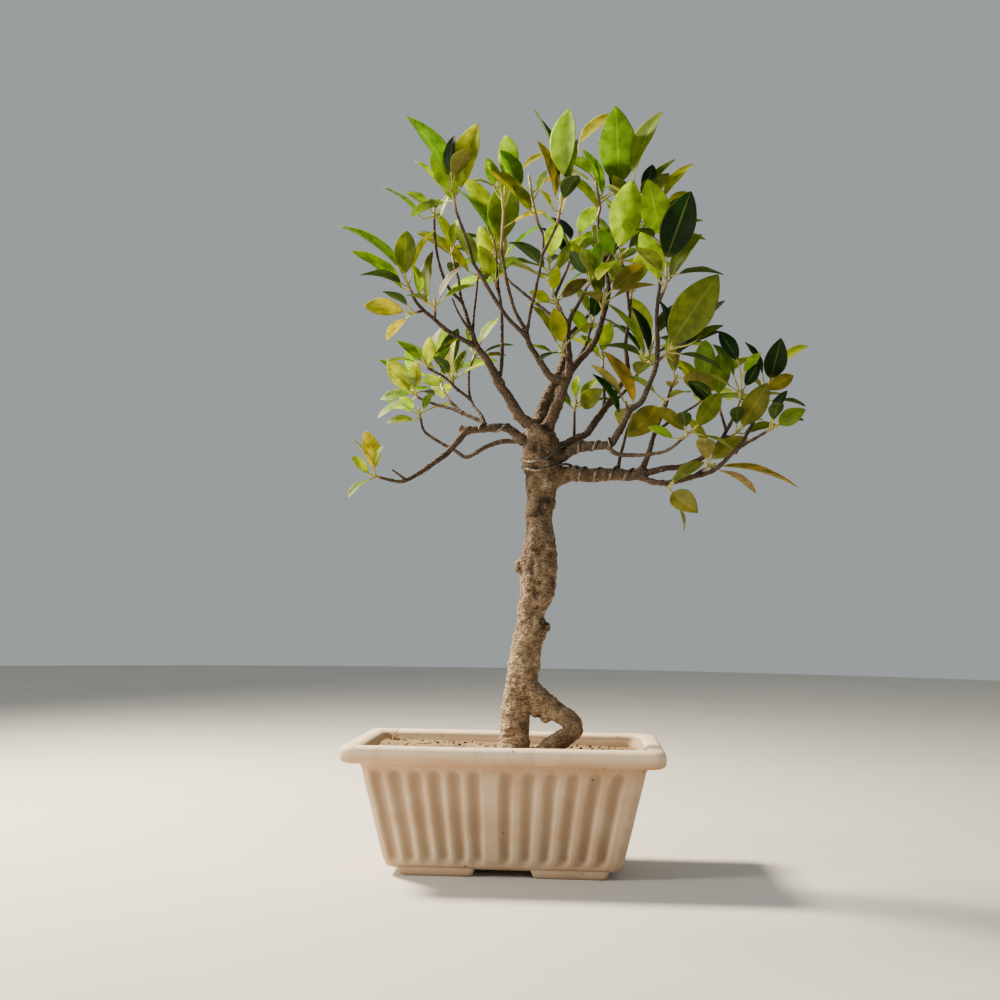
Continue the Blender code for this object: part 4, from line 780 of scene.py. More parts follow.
# A front shoot is its green stem's points, its leaves and their tones. A leaf is its blade's foot seen from
# the front (x, z), the way it points there in degrees clockwise from straight up, and how long and how
# wide it looks.
frontShoots = {
    "left_outer": ([(-72, -30, 410), (-75, -31, 416)],
                   [(-82, 428, -55, 54, 8), (-79, 413, -55, 44, 10), (-76, 421, 0, 32, 14)],
                   "green green olive"),
    "left_twig": ([(-55, -27, 397), (-55, -29, 401)],
                  [(-53, 402, 35, 30, 7), (-60, 406, 5, 33, 8), (-66, 407, -10, 21, 6)],
                  "brown olive pale"),
    "left_upper": ([(-45, 4, 440), (-47, 5, 450)],
                   [(-45, 451, 5, 19, 7), (-48, 454, -25, 27, 7)],
                   "lime olive"),
    "left_bud": ([(-58, -18, 468), (-58, -19, 472)],
                 [(-66, 465, -50, 37, 5), (-55, 465, 25, 20, 6)],
                 "green pale"),
    "left_inner": ([(-28, 9, 428), (-26, 11, 436)],
                   [(-24, 440, -5, 31, 10), (-33, 436, -55, 48, 10)],
                   "lime khaki"),
    "left_pale": ([(-13, 4, 423), (-15, 2, 428)],
                  [(-15, 431, -30, 18, 11)],
                  "pale"),
    "left_yellow": ([(-68, -26, 396), (-71, -27, 395)],
                    [(-74, 395, -80, 29, 12)],
                    "yellow"),
    "middle_left": ([(-14, 12, 446), (-15, 13, 456), (-19, 14, 468)],
                    [(-12, 459, 10, 43, 21), (-9, 459, 15, 37, 9), (-19, 475, -30, 40, 13),
                     (-16, 458, -35, 46, 6)],
                    "olive olive lime grey"),
    "top_left": ([(-39, -48, 464), (-41, -49, 474), (-43, -48, 482)],
                 [(-45, 489, -35, 55, 14), (-36, 481, 15, 45, 17), (-40, 468, -25, 39, 14),
                  (-42, 488, 5, 26, 8), (-54, 484, -45, 20, 4)],
                 "green lime olive dark lime"),
    "middle_front": ([(-7, -40, 438), (-6, -41, 456), (-5, -42, 480)],
                     [(-4, 488, 0, 33, 13), (-13, 485, -15, 20, 8), (7, 495, 55, 23, 6),
                      (-9, 486, -30, 16, 6)],
                     "lime green yellow lime"),
    "top_middle": ([(19, -45, 456), (16, -45, 468), (13, -44, 486)],
                   [(7, 481, -30, 30, 10), (18, 476, 30, 14, 6), (10, 470, -50, 32, 10),
                    (14, 462, -35, 21, 8)],
                   "green pale gold olive"),
    "top_middle_right": ([(33, -49, 454), (35, -50, 466), (37, -50, 480)],
                         [(33, 487, -20, 54, 7), (37, 484, 5, 44, 16), (41, 483, 10, 32, 9),
                          (36, 461, 20, 28, 6), (31, 460, -40, 13, 4), (31, 474, -25, 40, 8)],
                         "dark lime green lime yellow khaki"),
    "centre_left": ([(35, -1, 405), (32, 0, 411)],
                    [(29, 419, 15, 14, 8), (36, 414, 55, 22, 9), (30, 410, -75, 14, 7)],
                    "lime brown yellow"),
    "centre": ([(54, -10, 418), (58, -11, 424)],
               [(54, 428, -40, 19, 9), (60, 430, 15, 24, 9)],
               "grey green"),
    "centre_front": ([(66, 8, 402), (66, 4, 406), (67, 0, 414)],
                     [(64, 408, -25, 50, 11), (67, 421, -30, 33, 8), (73, 418, 50, 29, 13)],
                     "olive olive khaki"),
    "top_right_back": ([(63, 39, 488), (64, 40, 498), (58, 41, 530)],
                       [(48, 546, 50, 39, 11), (79, 511, -5, 50, 26), (73, 504, -15, 40, 9),
                        (67, 502, -25, 37, 9), (64, 491, -45, 40, 10)],
                       "yellow green dark green olive"),
    "right_front": ([(80, -8, 437), (78, -14, 443)],
                    [(78, 447, 10, 45, 21), (98, 436, -35, 49, 12), (75, 437, -30, 22, 9)],
                    "lime olive green"),
    "right_top": ([(106, -38, 440), (106, -39, 446)],
                  [(105, 449, -20, 26, 19), (112, 452, 75, 24, 6), (108, 452, 25, 30, 10)],
                  "green green dark"),
    "right_dark": ([(108, -35, 408), (110, -39, 414), (110, -40, 424)],
                   [(106, 412, -20, 37, 15), (113, 417, 35, 37, 10), (110, 431, 20, 41, 21)],
                   "lime olive dark"),
    "right_peak": ([(88, 14, 482), (93, 12, 494)],
                   [(89, 511, 25, 49, 12), (98, 495, 40, 34, 7), (112, 494, 40, 33, 8),
                    (114, 487, 55, 18, 8), (98, 488, 10, 25, 10)],
                   "green green lime yellow dark"),
    "right_inner": ([(88, 32, 420), (89, 33, 427)],
                    [(84, 432, -40, 30, 11), (92, 433, 20, 30, 12)],
                    "olive lime"),
    "centre_right": ([(67, 23, 366), (67, 24, 374)],
                     [(66, 378, 15, 23, 10), (64, 376, -45, 20, 6)],
                     "lime green"),
    "right_long": ([(101, -19, 360), (99, -17, 364)],
                   [(96, 366, -35, 48, 7), (99, 370, -22, 33, 8)],
                   "green dark"),
    "right_knee": ([(85, -3, 330), (84, 0, 334)],
                   [(89, 335, -30, 43, 10), (80, 323, -35, 34, 7)],
                   "tan dark"),
    "centre_small": ([(58, 19, 395), (59, 21, 400)],
                     [(59, 399, 10, 22, 10), (57, 389, -35, 22, 9)],
                     "dark green"),
    "centre_spur_leaves": ([(39, -13, 367), (36, -16, 371)],
                           [(37, 376, -15, 23, 11), (34, 373, -35, 31, 6), (29, 370, -75, 18, 4)],
                           "yellow olive olive"),
    "fork_sprout_leaves": ([(46, 13, 330), (47, 14, 337)],
                           [(47, 341, 5, 16, 6), (50, 339, 40, 21, 7), (43, 334, -40, 15, 5),
                            (51, 334, 60, 20, 12)],
                           "lime lime green olive"),
    "right_big": ([(109, -28, 364), (114, -31, 369)],
                  [(114, 372, 35, 49, 25), (116, 359, 40, 52, 10), (131, 373, 60, 22, 6),
                   (117, 366, 65, 33, 7)],
                  "olive dark green dark"),
    "right_low": ([(121, -46, 302), (128, -51, 308)],
                  [(130, 310, 35, 28, 12), (122, 308, -55, 25, 9), (114, 302, -65, 18, 6)],
                  "olive khaki pale"),
    "lower_inner": ([(118, 12, 350), (121, 15, 356)],
                    [(126, 356, 110, 26, 13), (120, 361, -15, 24, 9)],
                    "khaki green"),
    "lower_middle": ([(150, -22, 324), (148, -20, 333)],
                     [(148, 338, 5, 30, 13), (144, 332, -50, 22, 9)],
                     "olive dark"),
    "lower_khaki": ([(112, 1, 335), (111, -3, 336)],
                    [(108, 331, -135, 31, 16)],
                    "khaki"),
    "lower_outer": ([(160, -32, 325), (163, -34, 336)],
                    [(160, 359, -30, 24, 10), (158, 349, -35, 26, 7), (164, 350, 40, 18, 6),
                     (166, 342, 30, 18, 8)],
                    "dark green lime dark"),
    "lower_big": ([(156, -33, 306), (160, -35, 309)],
                  [(163, 313, 30, 30, 15), (165, 308, 75, 22, 6)],
                  "khaki olive"),
    "edge_upper": ([(177, -28, 328), (182, -25, 338)],
                   [(184, 348, 10, 22, 14), (192, 361, 60, 21, 6), (178, 338, 55, 21, 9),
                    (179, 352, -30, 25, 6)],
                   "dark lime gold dark"),
    "edge": ([(177, -57, 306), (181, -59, 308)],
             [(184, 311, 65, 15, 10), (181, 317, 30, 19, 6)],
             "green dark"),
    "underside": ([(136, -34, 282), (142, -36, 285)],
                  [(150, 285, 105, 53, 6), (142, 290, 60, 28, 11), (139, 293, -30, 30, 7)],
                  "gold khaki tan"),
    "hanging": ([(112, -26, 271), (113, -29, 269)],
                [(115, 266, 135, 19, 14), (116, 275, 60, 24, 8)],
                "khaki khaki"),
    "far_left": ([(-90, -42, 274), (-94, -43, 275)],
                 [(-93, 276, -15, 27, 10), (-96, 274, -45, 16, 6), (-93, 281, 30, 14, 4)],
                 "yellow pale pale"),
    "low_left_back": ([(-74, 35, 344), (-77, 37, 348)],
                      [(-81, 350, -35, 25, 13), (-78, 349, 15, 19, 10), (-80, 352, -10, 31, 8),
                       (-85, 353, -45, 29, 5), (-81, 347, -100, 22, 8), (-80, 342, -120, 28, 6)],
                      "pale yellow lime green pale pale"),
    "low_left_front": ([(-62, -6, 359), (-64, -7, 363)],
                       [(-68, 364, -50, 22, 6), (-61, 360, 5, 18, 9), (-59, 362, 15, 26, 6),
                        (-57, 357, 35, 17, 6)],
                       "green lime green green"),
    "low_left_middle": ([(-44, 2, 348), (-44, 2, 352)],
                        [(-45, 355, 5, 26, 7), (-43, 353, 25, 19, 7), (-51, 351, -95, 15, 7)],
                        "yellow green pale"),
    "low_left_inner": ([(-31, 14, 368), (-29, 15, 374)],
                       [(-25, 382, 35, 24, 7), (-28, 375, 45, 10, 4), (-31, 378, -15, 18, 6),
                        (-25, 371, 85, 19, 4)],
                       "lime green olive olive"),
    "low_left_under": ([(-71, 27, 327), (-72, 28, 332)],
                       [(-76, 325, -95, 20, 6), (-74, 333, -60, 13, 6), (-69, 334, 40, 12, 6)],
                       "pale lime green"),
}

# A rear shoot is its stem and its count of leaves, which stand round the stem in a spiral.
rearShoots = {
    "rear_top": ([(28, 66, 434), (26, 70, 446), (24, 72, 462)], 9),
    "rear_right": ([(70, 72, 438), (76, 76, 450), (80, 78, 464)], 9),
    "rear_left": ([(-6, 72, 444), (-14, 75, 454), (-20, 76, 468)], 9),
    "rear_far_right": ([(98, 58, 372), (104, 64, 384), (108, 68, 398)], 8),
    "rear_low_right": ([(138, 42, 340), (144, 48, 346), (150, 52, 356)], 8),
    "rear_low_left": ([(-56, 50, 352), (-59, 56, 358), (-60, 60, 366)], 7),
    "rear_peak": ([(38, 76, 454), (42, 80, 466), (46, 82, 482)], 8),
    "rear_right_peak": ([(84, 48, 470), (90, 52, 480), (94, 54, 494)], 8),
}

# A tone's colours: the glossy upper face and the duller underside. The dark tone is the leaf's own dark
# green with painted shade on it.
leafTones = {
    "lime": ("#9AAE20", "#9DA648"), "green": ("#6C8518", "#82923F"), "olive": ("#6F7C26", "#80813F"),
    "khaki": ("#7F7F35", "#8B854B"), "pale": ("#8B9C3A", "#98A255"), "yellow": ("#A3A224", "#A3A04A"),
    "gold": ("#8F8C2C", "#969047"), "dark": ("#1F3817", "#4A5E28"), "grey": ("#58724A", "#7A8A60"),
    "brown": ("#66622A", "#7B733F"), "tan": ("#868244", "#979158"),
}
leaf = {
    "thickness": 0.45, "droop": 0.5, "fold": 0.28, "rows": 15, "columns": 9, "petiole": 0.62,
    "slenderness": 0.42, "shortestPetiole": 4.0, "stemRadius": 1.0, "gap": 0.35, "nodeSpacing": 0.09,
    "lengthGain": 1.05, "widthGain": 1.13, "fillers": 2, "fillerShare": 0.85, "match": 0.15, "jitter": 0.10,
}
spiral = math.radians(137.5)


def outline(u):
    # half width along a blade, as a share of the full half width: an ellipse with a short pointed tip
    return np.sin(math.pi * u ** 0.96) ** 0.78


def leafFrame(clock, lean, turn):
    # the blade's direction at its foot, half its droop above the line to its tip, and the way its face looks
    clock, lean, turn = math.radians(clock), math.radians(lean), math.radians(turn)
    ahead = np.array([math.sin(clock) * math.cos(lean), -math.sin(lean), math.cos(clock) * math.cos(lean)])
    front = np.array([0.0, -1.0, 0.0])
    face = front - ahead * ahead.dot(front)
    face = unit(face) if np.linalg.norm(face) > 1e-6 else np.array([0.0, 0.0, 1.0])
    up = face * math.cos(turn) + np.cross(ahead, face) * math.sin(turn)
    back = leaf["droop"] / 2
    return ahead * math.cos(back) + up * math.sin(back), up * math.cos(back) - ahead * math.sin(back)


def bladeSpine(foot, ahead, up, length, u):
    # an arc of the droop angle: forward by sin, down by 1 - cos
    bend = leaf["droop"] * np.asarray(u, float)[..., None]
    radius = length / leaf["droop"]
    spine = foot + ahead * radius * np.sin(bend) - up * radius * (1 - np.cos(bend))
    return spine, up * np.cos(bend) + ahead * np.sin(bend)


def petioleStart(route, x, z, clock, used):
    # the free point of the stem that suits the blade's foot best
    ahead = np.array([math.sin(math.radians(clock)), math.cos(math.radians(clock))])
    best = None
    for share in (0.2 + 0.68 * i / 30 for i in range(31)):
        if any(abs(share - other) < leaf["nodeSpacing"] for other in used):
            continue
        point, _ = along(route, share)
        reach = np.array([x - point[0], z - point[2]])
        cost = np.linalg.norm(reach) - 0.8 * reach.dot(ahead)
        if best is None or cost < best[0]:
            best = (cost, point, share)
    used.append(best[2])
    return best[1]


# The ways a leaf may give room to its neighbours, nearest first: shift in depth, change of lean, of clock.
leafWays = [(dy, dl, dc) for dy in (0, -5, 5, -10, 10, -16, 16, -24, 24) for dl in (0, -14, 14, -28, 28)
            for dc in (0, 6, -6)]
leafWays.sort(key=lambda way: abs(way[0]) / 5 + abs(way[1]) / 9 + abs(way[2]) / 5)


def frontWays(start, x, z, clock, seenLength, seenWidth, index):
    # every place that a leaf seen from the front may hang in, in order
    length = max(seenLength, seenWidth / 0.45, 16.0)
    width = max(seenWidth, leaf["slenderness"] * length)
    lean = math.degrees(math.acos(min(1.0, seenLength / length))) + (8 if index % 2 else -6)
    turn = math.degrees(math.acos(min(1.0, seenWidth / width))) * (-1 if clock > 0 else 1)
    length, width = length * leaf["lengthGain"], width * leaf["widthGain"]
    for shift, moreLean, moreClock in leafWays:
        foot = np.array([x, start[1] + shift + (2 if index % 2 else -2), z])
        ahead, up = leafFrame(clock + moreClock, lean + moreLean, turn)
        reach = foot - start
        if reach.dot(ahead) < 0.3 * np.linalg.norm(reach) or np.linalg.norm(reach) < leaf["shortestPetiole"]:
            foot = start + reach + ahead * leaf["shortestPetiole"]
        yield foot, ahead, up, length, width


def rearWays(route, share, azimuth, length):
    # every place that a leaf of a spiral may hang in, in order
    start, ahead = along(route, share)
    side = unit(np.cross(ahead, [0, 1, 0]))
    for shift in (0, 14, -14, 28, -28, 42, -42, 56, -56):
        angle = azimuth + math.radians(shift)
        out = side * math.cos(angle) + np.cross(ahead, side) * math.sin(angle)
        for opening in (0.95, 1.2, 0.7, 1.4):
            toward = unit(ahead * math.cos(opening) + out * math.sin(opening))
            up = np.array([0, 0, 1]) - toward * toward[2]
            up = unit(up) if np.linalg.norm(up) > 0.2 else unit(ahead - toward * ahead.dot(toward))
            yield start + toward * 9, toward, up, length, leaf["slenderness"] * length


def fillerWays(leaves, used):
    # share of the stem, azimuth and length of each leaf behind the listed ones
    usual = max(24.0, leaf["fillerShare"] * sum(row[3] for row in leaves) / len(leaves))
    for index in range(leaf["fillers"]):
        share = 0.2 + 0.6 * (index + 0.5) / leaf["fillers"]
        while any(abs(share - other) < leaf["nodeSpacing"] for other in used) and share < 0.95:
            share += 0.02
        used.append(share)
        yield share, (index + len(leaves)) * spiral, usual


def packedWay(ways, corners):
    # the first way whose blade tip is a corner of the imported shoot, so each leaf hangs where its solid does
    for foot, ahead, up, length, width in ways:
        tip, _ = bladeSpine(foot, ahead, up, length, np.array([1.0]))
        if corners.find(Vector(world(tip[0])))[2] < leaf["match"] * mm:
            return foot, ahead, up, length, width
    return None


def bladeFaces():
    # the upper grid, the lower grid that shares its margins, and the two ends, as one closed skin
    rows, columns = leaf["rows"], leaf["columns"]
    upper = np.arange(rows * columns).reshape(rows, columns)
    lower = upper.copy()
    lower[:, 1:-1] = rows * columns + np.arange(rows * (columns - 2)).reshape(rows, columns - 2)
    foot, tip = rows * columns + rows * (columns - 2), rows * columns + rows * (columns - 2) + 1
    faces = []
    for grid, flip in ((upper, False), (lower, True)):
        quads = np.stack([grid[:-1, :-1], grid[:-1, 1:], grid[1:, 1:], grid[1:, :-1]], axis=-1).reshape(-1, 4)
        near = np.stack([grid[0, 1:], grid[0, :-1], np.full(columns - 1, foot)], axis=-1)
        far = np.stack([grid[-1, :-1], grid[-1, 1:], np.full(columns - 1, tip)], axis=-1)
        faces += [(group[:, ::-1] if flip else group) for group in (quads, near, far)]
    return faces


def bladeSkin(foot, ahead, up, length, width, dice):
    # spine + side times half width times v + lift times (fold |v|^1.4, a wavy margin, a sunk midrib)
    u = np.linspace(0.02, 0.985, leaf["rows"])
    v = np.sin(np.linspace(-1, 1, leaf["columns"]) * math.pi / 2)
    side = np.cross(ahead, up)
    spine, lift = bladeSpine(foot, ahead, up, length, u)
    half = outline(u) * width / 2
    fold = leaf["fold"] * dice.uniform(0.75, 1.15)
    wave = dice.uniform(0.1, 0.5) * np.sin(2 * math.pi * (u * dice.uniform(1.6, 2.8) + dice.random()))
    twist = dice.uniform(-0.10, 0.10)
    across = v[None] * half[:, None]
    height = fold * half[:, None] * np.abs(v[None]) ** 1.4 + wave[:, None] * v[None] * np.abs(v[None]) \
        * half[:, None] / 8 + twist * across * u[:, None]
    middle = spine[:, None] + side * across[..., None] + lift[:, None] * height[..., None]
    thick = leaf["thickness"] / 2 * (1 - v ** 2) ** 0.5
    rib = np.exp(-(across / 0.7) ** 2) * (1 - u[:, None])
    upper = middle + lift[:, None] * (thick[None, :, None] - 0.10 * rib[..., None])
    lower = middle - lift[:, None] * (thick[None, :, None] + 0.32 * rib[..., None])
    ends = bladeSpine(foot, ahead, up, length, np.array([0.0, 1.0]))[0]
    points = np.vstack([upper.reshape(-1, 3), lower[:, 1:-1].reshape(-1, 3), ends])
    grid = np.stack(np.broadcast_arrays(u[:, None], v[None]), axis=-1)
    place = np.vstack([np.dstack([grid, np.ones(grid.shape[:2])]).reshape(-1, 3),
                       np.dstack([grid[:, 1:-1], np.zeros(grid[:, 1:-1].shape[:2])]).reshape(-1, 3),
                       [[0, 0, 0.5], [1, 0, 0.5]]])
    return points, place


def petioleTube(start, foot, ahead):
    # a cubic from the stem to the blade's foot that ends along the blade
    t = np.linspace(0, 1, 8)[:, None]
    reach = np.linalg.norm(foot - start)
    a, b = start + (foot - start) * 0.4, foot - ahead * reach * 0.35
    end = foot + ahead * 1.2
    route = (1 - t) ** 3 * start + 3 * (1 - t) ** 2 * t * a + 3 * (1 - t) * t ** 2 * b + t ** 3 * end
    return tube(route, leaf["petiole"] * (1.15 - 0.35 * t[:, 0]), 7)


def budSkin(tip, ahead, length):
    # the pointed sheath at a stem's end: a short spindle
    t = np.linspace(0, 1, 8)
    radii = 0.95 * np.sin(math.pi * (0.22 + 0.76 * t) ** 1.2) + 0.04
    return tube(tip + ahead * (t[:, None] * length - 0.8), radii, 8)


def clearStart(route):
    # the green stem starts just past the end of its twig
    route = np.array(route, float)
    route[0] += unit(route[1] - route[0]) * (leaf["gap"] + 0.75 * leaf["stemRadius"])
    return route


def makeShoot(name, table, placed, tones, finishes, seed):
    # one grown piece: stem, terminal bud, petioles and blades, with each blade's colours and places kept
    dice = np.random.default_rng(seed)
    skins, faces, slots, colours, places, ages = [], [], [], [], [], []
    count = 0

    def add(points, groups, slot, upper, lower, place, age):
        nonlocal count
        skins.append(points)
        for group in groups:
            faces.extend(map(tuple, (group + count).tolist()))
            slots.extend([slot] * len(group))
        share = place[:, 2:3]
        colours.append(np.hstack([lower * (1 - share) + upper * share, np.ones((len(points), 1))]))
        places.append(place)
        ages.append(age)
        count += len(points)

    route = smoothRoute(table, 2.0)
    route = np.vstack([route[0] - unit(route[1] - route[0]) * 2.0, route])
    travelled = np.linspace(0, 1, len(route))
    knuckle = 1 + 0.16 * np.abs(np.sin(travelled * math.pi * 4)) ** 8
    points, groups = tube(route, leaf["stemRadius"] * (1.05 - 0.25 * travelled) * knuckle, 10)
    age = np.concatenate([np.repeat(travelled, 10), [0, 1]])
    blank = np.zeros((len(points), 3))
    add(points, groups, 1, blank, blank, blank, age)
    points, groups = budSkin(route[-1], unit(route[-1] - route[-2]), dice.uniform(4, 7))
    blank = np.zeros((len(points), 3))
    add(points, groups, 1, blank, blank, blank, np.full(len(points), 1.3))
    for (start, (foot, ahead, up, length, width)), tone in zip(placed, tones):
        points, groups = petioleTube(start, foot, ahead)
        blank = np.zeros((len(points), 3))
        add(points, groups, 1, blank, blank, blank, np.full(len(points), 1.1))
        points, place = bladeSkin(foot, ahead, up, length, width, dice)
        shift = 1 + leaf["jitter"] * dice.uniform(-1, 1, 3)
        upper, lower = (np.array(linear(leafTones[tone][i])[:3]) * shift for i in (0, 1))
        add(points, bladeFaces(), 0, upper, lower, place, np.zeros(len(points)))
    points = np.clip(np.concatenate(skins), boxLow, boxHigh)
    made = putMesh("leafy_" + name, points, faces, finishes,
                   {"leafColour": np.concatenate(colours), "bladePlace": np.concatenate(places),
                    "age": np.concatenate(ages)}, slots)
    return declare(made, name)


def makeShoots(finishes):
    missing, total = 0, 0
    rearDice = random.Random(7)
    toneDice = random.Random(12)
    for seed, name in enumerate(list(frontShoots) + list(rearShoots)):
        node = "shoot_" + name
        corners = frame["nodes"][node].data.vertices
        tree = KDTree(len(corners))
        for corner in corners:
            tree.insert(corner.co, corner.index)
        tree.balance()
        wanted = []
        if name in frontShoots:
            table, leaves, toneNames = frontShoots[name]
            route = clearStart(table)
            used = []
            for index, (row, tone) in enumerate(zip(leaves, toneNames.split())):
                start = petioleStart(route, row[0], row[1], row[2], used)
                wanted.append((start, frontWays(start, *row, index), tone))
            for share, azimuth, length in fillerWays(leaves, used):
                tone = toneDice.choice(toneNames.split() + ["dark", "green", "olive"])
                wanted.append((along(route, share)[0], rearWays(route, share, azimuth, length), tone))
        else:
            table, number = rearShoots[name]
            route = clearStart(table)
            for index in range(number):
                share = 0.25 + 0.75 * index / (number - 1)
                length = rearDice.uniform(36, 46) * (1.0 - 0.25 * (index == number - 1))
                tone = toneDice.choice(["green", "dark", "green", "olive", "lime"])
                wanted.append((along(route, share)[0], rearWays(route, share, index * spiral, length), tone))
        placed, tones = [], []
        for start, ways, tone in wanted:
            way = packedWay(ways, tree)
            if way is None:
                missing += 1
                continue
            placed.append((start, way))
            tones.append(tone)
        total += len(placed)
        makeShoot(node, route, placed, tones, finishes, 100 + seed)
    print("shoots:", len(frontShoots) + len(rearShoots), "with", total, "leaves;", missing, "had no room")


def layered(tree, base, layers):
    # each layer lays a colour on the base where a value runs from low to high, up to the layer's share
    for value, low, high, share, colour in layers:
        steps = {"Value": value, "From Min": low, "From Max": high, "To Max": share}
        amount = addNode(tree, "MapRange", steps, "Result", interpolation_type="SMOOTHSTEP")
        base = addNode(tree, "Mix", {0: amount, 6: base, 7: linear(colour)}, 2, data_type="RGBA")
    return base


def paleStoneware():
    # Unglazed pale stoneware, slip-cast and fired: a dry, even skin with a little iron that shows as tiny dark
    # specks. Painted shade darkens the grooves grey-brown and the band under the rim's overhang orange-brown,
    # and a painted highlight lightens the rim to cream.
    made, tree = newMaterial("pale_unglazed_stoneware")
    place = addNode(tree, "TexCoord", {}, "Object")
    height = addNode(tree, "SeparateXYZ", {"Vector": place}, "Z")
    groove = addNode(tree, "Attribute", {}, "Fac", attribute_name="groove")
    insideWall = addNode(tree, "Attribute", {}, "Fac", attribute_name="insideWall")
    cloud = addNode(tree, "TexNoise", {"Vector": place, "Scale": 34.0, "Detail": 4.0, "Roughness": 0.55}, "Fac")
    grain = addNode(tree, "TexNoise", {"Vector": place, "Scale": 1500.0, "Detail": 3.0, "Roughness": 0.7},
                    "Fac")
    speck = addNode(tree, "TexVoronoi", {"Vector": place, "Scale": 150.0, "Randomness": 1.0})
    keep = addNode(tree, "SeparateColor", {"Color": speck.outputs["Color"]}, "Red")
    rare = addNode(tree, "Math", {0: keep, 1: 0.87}, "Value", operation="GREATER_THAN")
    drip = addNode(tree, "Mapping", {"Vector": place, "Scale": (1.0, 1.0, 0.12)}, "Vector")
    streak = addNode(tree, "TexNoise", {"Vector": drip, "Scale": 120.0, "Detail": 3.0}, "Fac")
    # painted shade: the groove layer darkens the flutes and the layer from 68.5 to 78.5 mm high darkens the
    # wall under the rim; painted highlight: the layer from 79.5 to 88.5 mm high lightens the rim
    body = layered(tree, linear("#C8AE90"), [
        (cloud, 0.35, 0.68, 1.0, "#B99B7B"), (groove, 0.2, 1.0, 0.6, "#80664F"),
        (height, 0.0685, 0.0785, 0.5, "#B3855A"), (height, 0.0795, 0.0885, 0.85, "#DFCDAF"),
        # darker inside the pot, from just below the lip down
        (insideWall, 0.0, 1.0, 0.75, "#98805F"),
        (streak, 0.52, 0.75, 0.25, "#A27C57"), (height, 0.018, 0.003, 0.5, "#A5825F"),
        (grain, 0.3, 0.7, 0.16, "#8B6C4D")])
    dot = addNode(tree, "MapRange", {"Value": speck.outputs["Distance"], "From Min": 0.14,
                                     "From Max": 0.07}, "Result")
    fleck = addNode(tree, "Math", {0: dot, 1: rare}, "Value", operation="MULTIPLY")
    body = layered(tree, body, [(fleck, 0.0, 1.0, 1.0, "#4A3525")])
    bump = addNode(tree, "Bump", {"Height": grain, "Strength": 0.25, "Distance": 0.0003}, "Normal")
    soft = addNode(tree, "Bump", {"Height": cloud, "Strength": 0.35, "Distance": 0.0008, "Normal": bump},
                   "Normal")
    rough = addNode(tree, "MapRange", {"Value": cloud, "From Min": 0.3, "From Max": 0.7, "To Min": 0.62,
                                       "To Max": 0.8}, "Result")
    shader = addNode(tree, "BsdfPrincipled", {"Base Color": body, "Roughness": rough, "IOR": 1.5,
                                              "Specular IOR Level": 0.4, "Normal": soft}, "BSDF")
    addNode(tree, "OutputMaterial", {"Surface": shader})
    return made


def sandySoil():
    # Dry sandy potting soil: pale tan crust with darker damp patches, grains of about a millimetre.
    made, tree = newMaterial("dry_sandy_soil")
    place = addNode(tree, "TexCoord", {}, "Object")
    patch = addNode(tree, "TexNoise", {"Vector": place, "Scale": 55.0, "Detail": 5.0, "Roughness": 0.6}, "Fac")
    grain = addNode(tree, "TexNoise", {"Vector": place, "Scale": 900.0, "Detail": 4.0, "Roughness": 0.7}, "Fac")
    grit = addNode(tree, "TexVoronoi", {"Vector": place, "Scale": 650.0}, "Color")
    shade = addNode(tree, "SeparateColor", {"Color": grit}, "Green")
    body = layered(tree, linear("#91795A"), [
        (patch, 0.40, 0.68, 0.8, "#6C5740"), (shade, 0.45, 1.0, 0.5, "#4B3A2A"),
        (grain, 0.5, 0.75, 0.5, "#A8906E")])
    bump = addNode(tree, "Bump", {"Height": grain, "Strength": 0.8, "Distance": 0.0006}, "Normal")
    shader = addNode(tree, "BsdfPrincipled", {"Base Color": body, "Roughness": 0.96, "IOR": 1.45,
                                              "Specular IOR Level": 0.2, "Normal": bump}, "BSDF")
    addNode(tree, "OutputMaterial", {"Surface": shader})
    return made


def looseGrains(name, first, second, last):
    # Loose crumbs or dry stalks: each has its own shade, from the first colour to the last.
    made, tree = newMaterial(name)
    place = addNode(tree, "TexCoord", {}, "Object")
    shade = addNode(tree, "Attribute", {}, "Fac", attribute_name="shade")
    grain = addNode(tree, "TexNoise", {"Vector": place, "Scale": 1400.0, "Detail": 3.0}, "Fac")
    body = layered(tree, linear(first), [(shade, 0.0, 0.5, 1.0, second), (shade, 0.65, 1.0, 1.0, last),
                                         (grain, 0.4, 0.7, 0.35, first)])
    bump = addNode(tree, "Bump", {"Height": grain, "Strength": 0.5, "Distance": 0.0003}, "Normal")
    shader = addNode(tree, "BsdfPrincipled", {"Base Color": body, "Roughness": 0.92, "IOR": 1.45,
                                              "Specular IOR Level": 0.25, "Normal": bump}, "BSDF")
    addNode(tree, "OutputMaterial", {"Surface": shader})
    return made


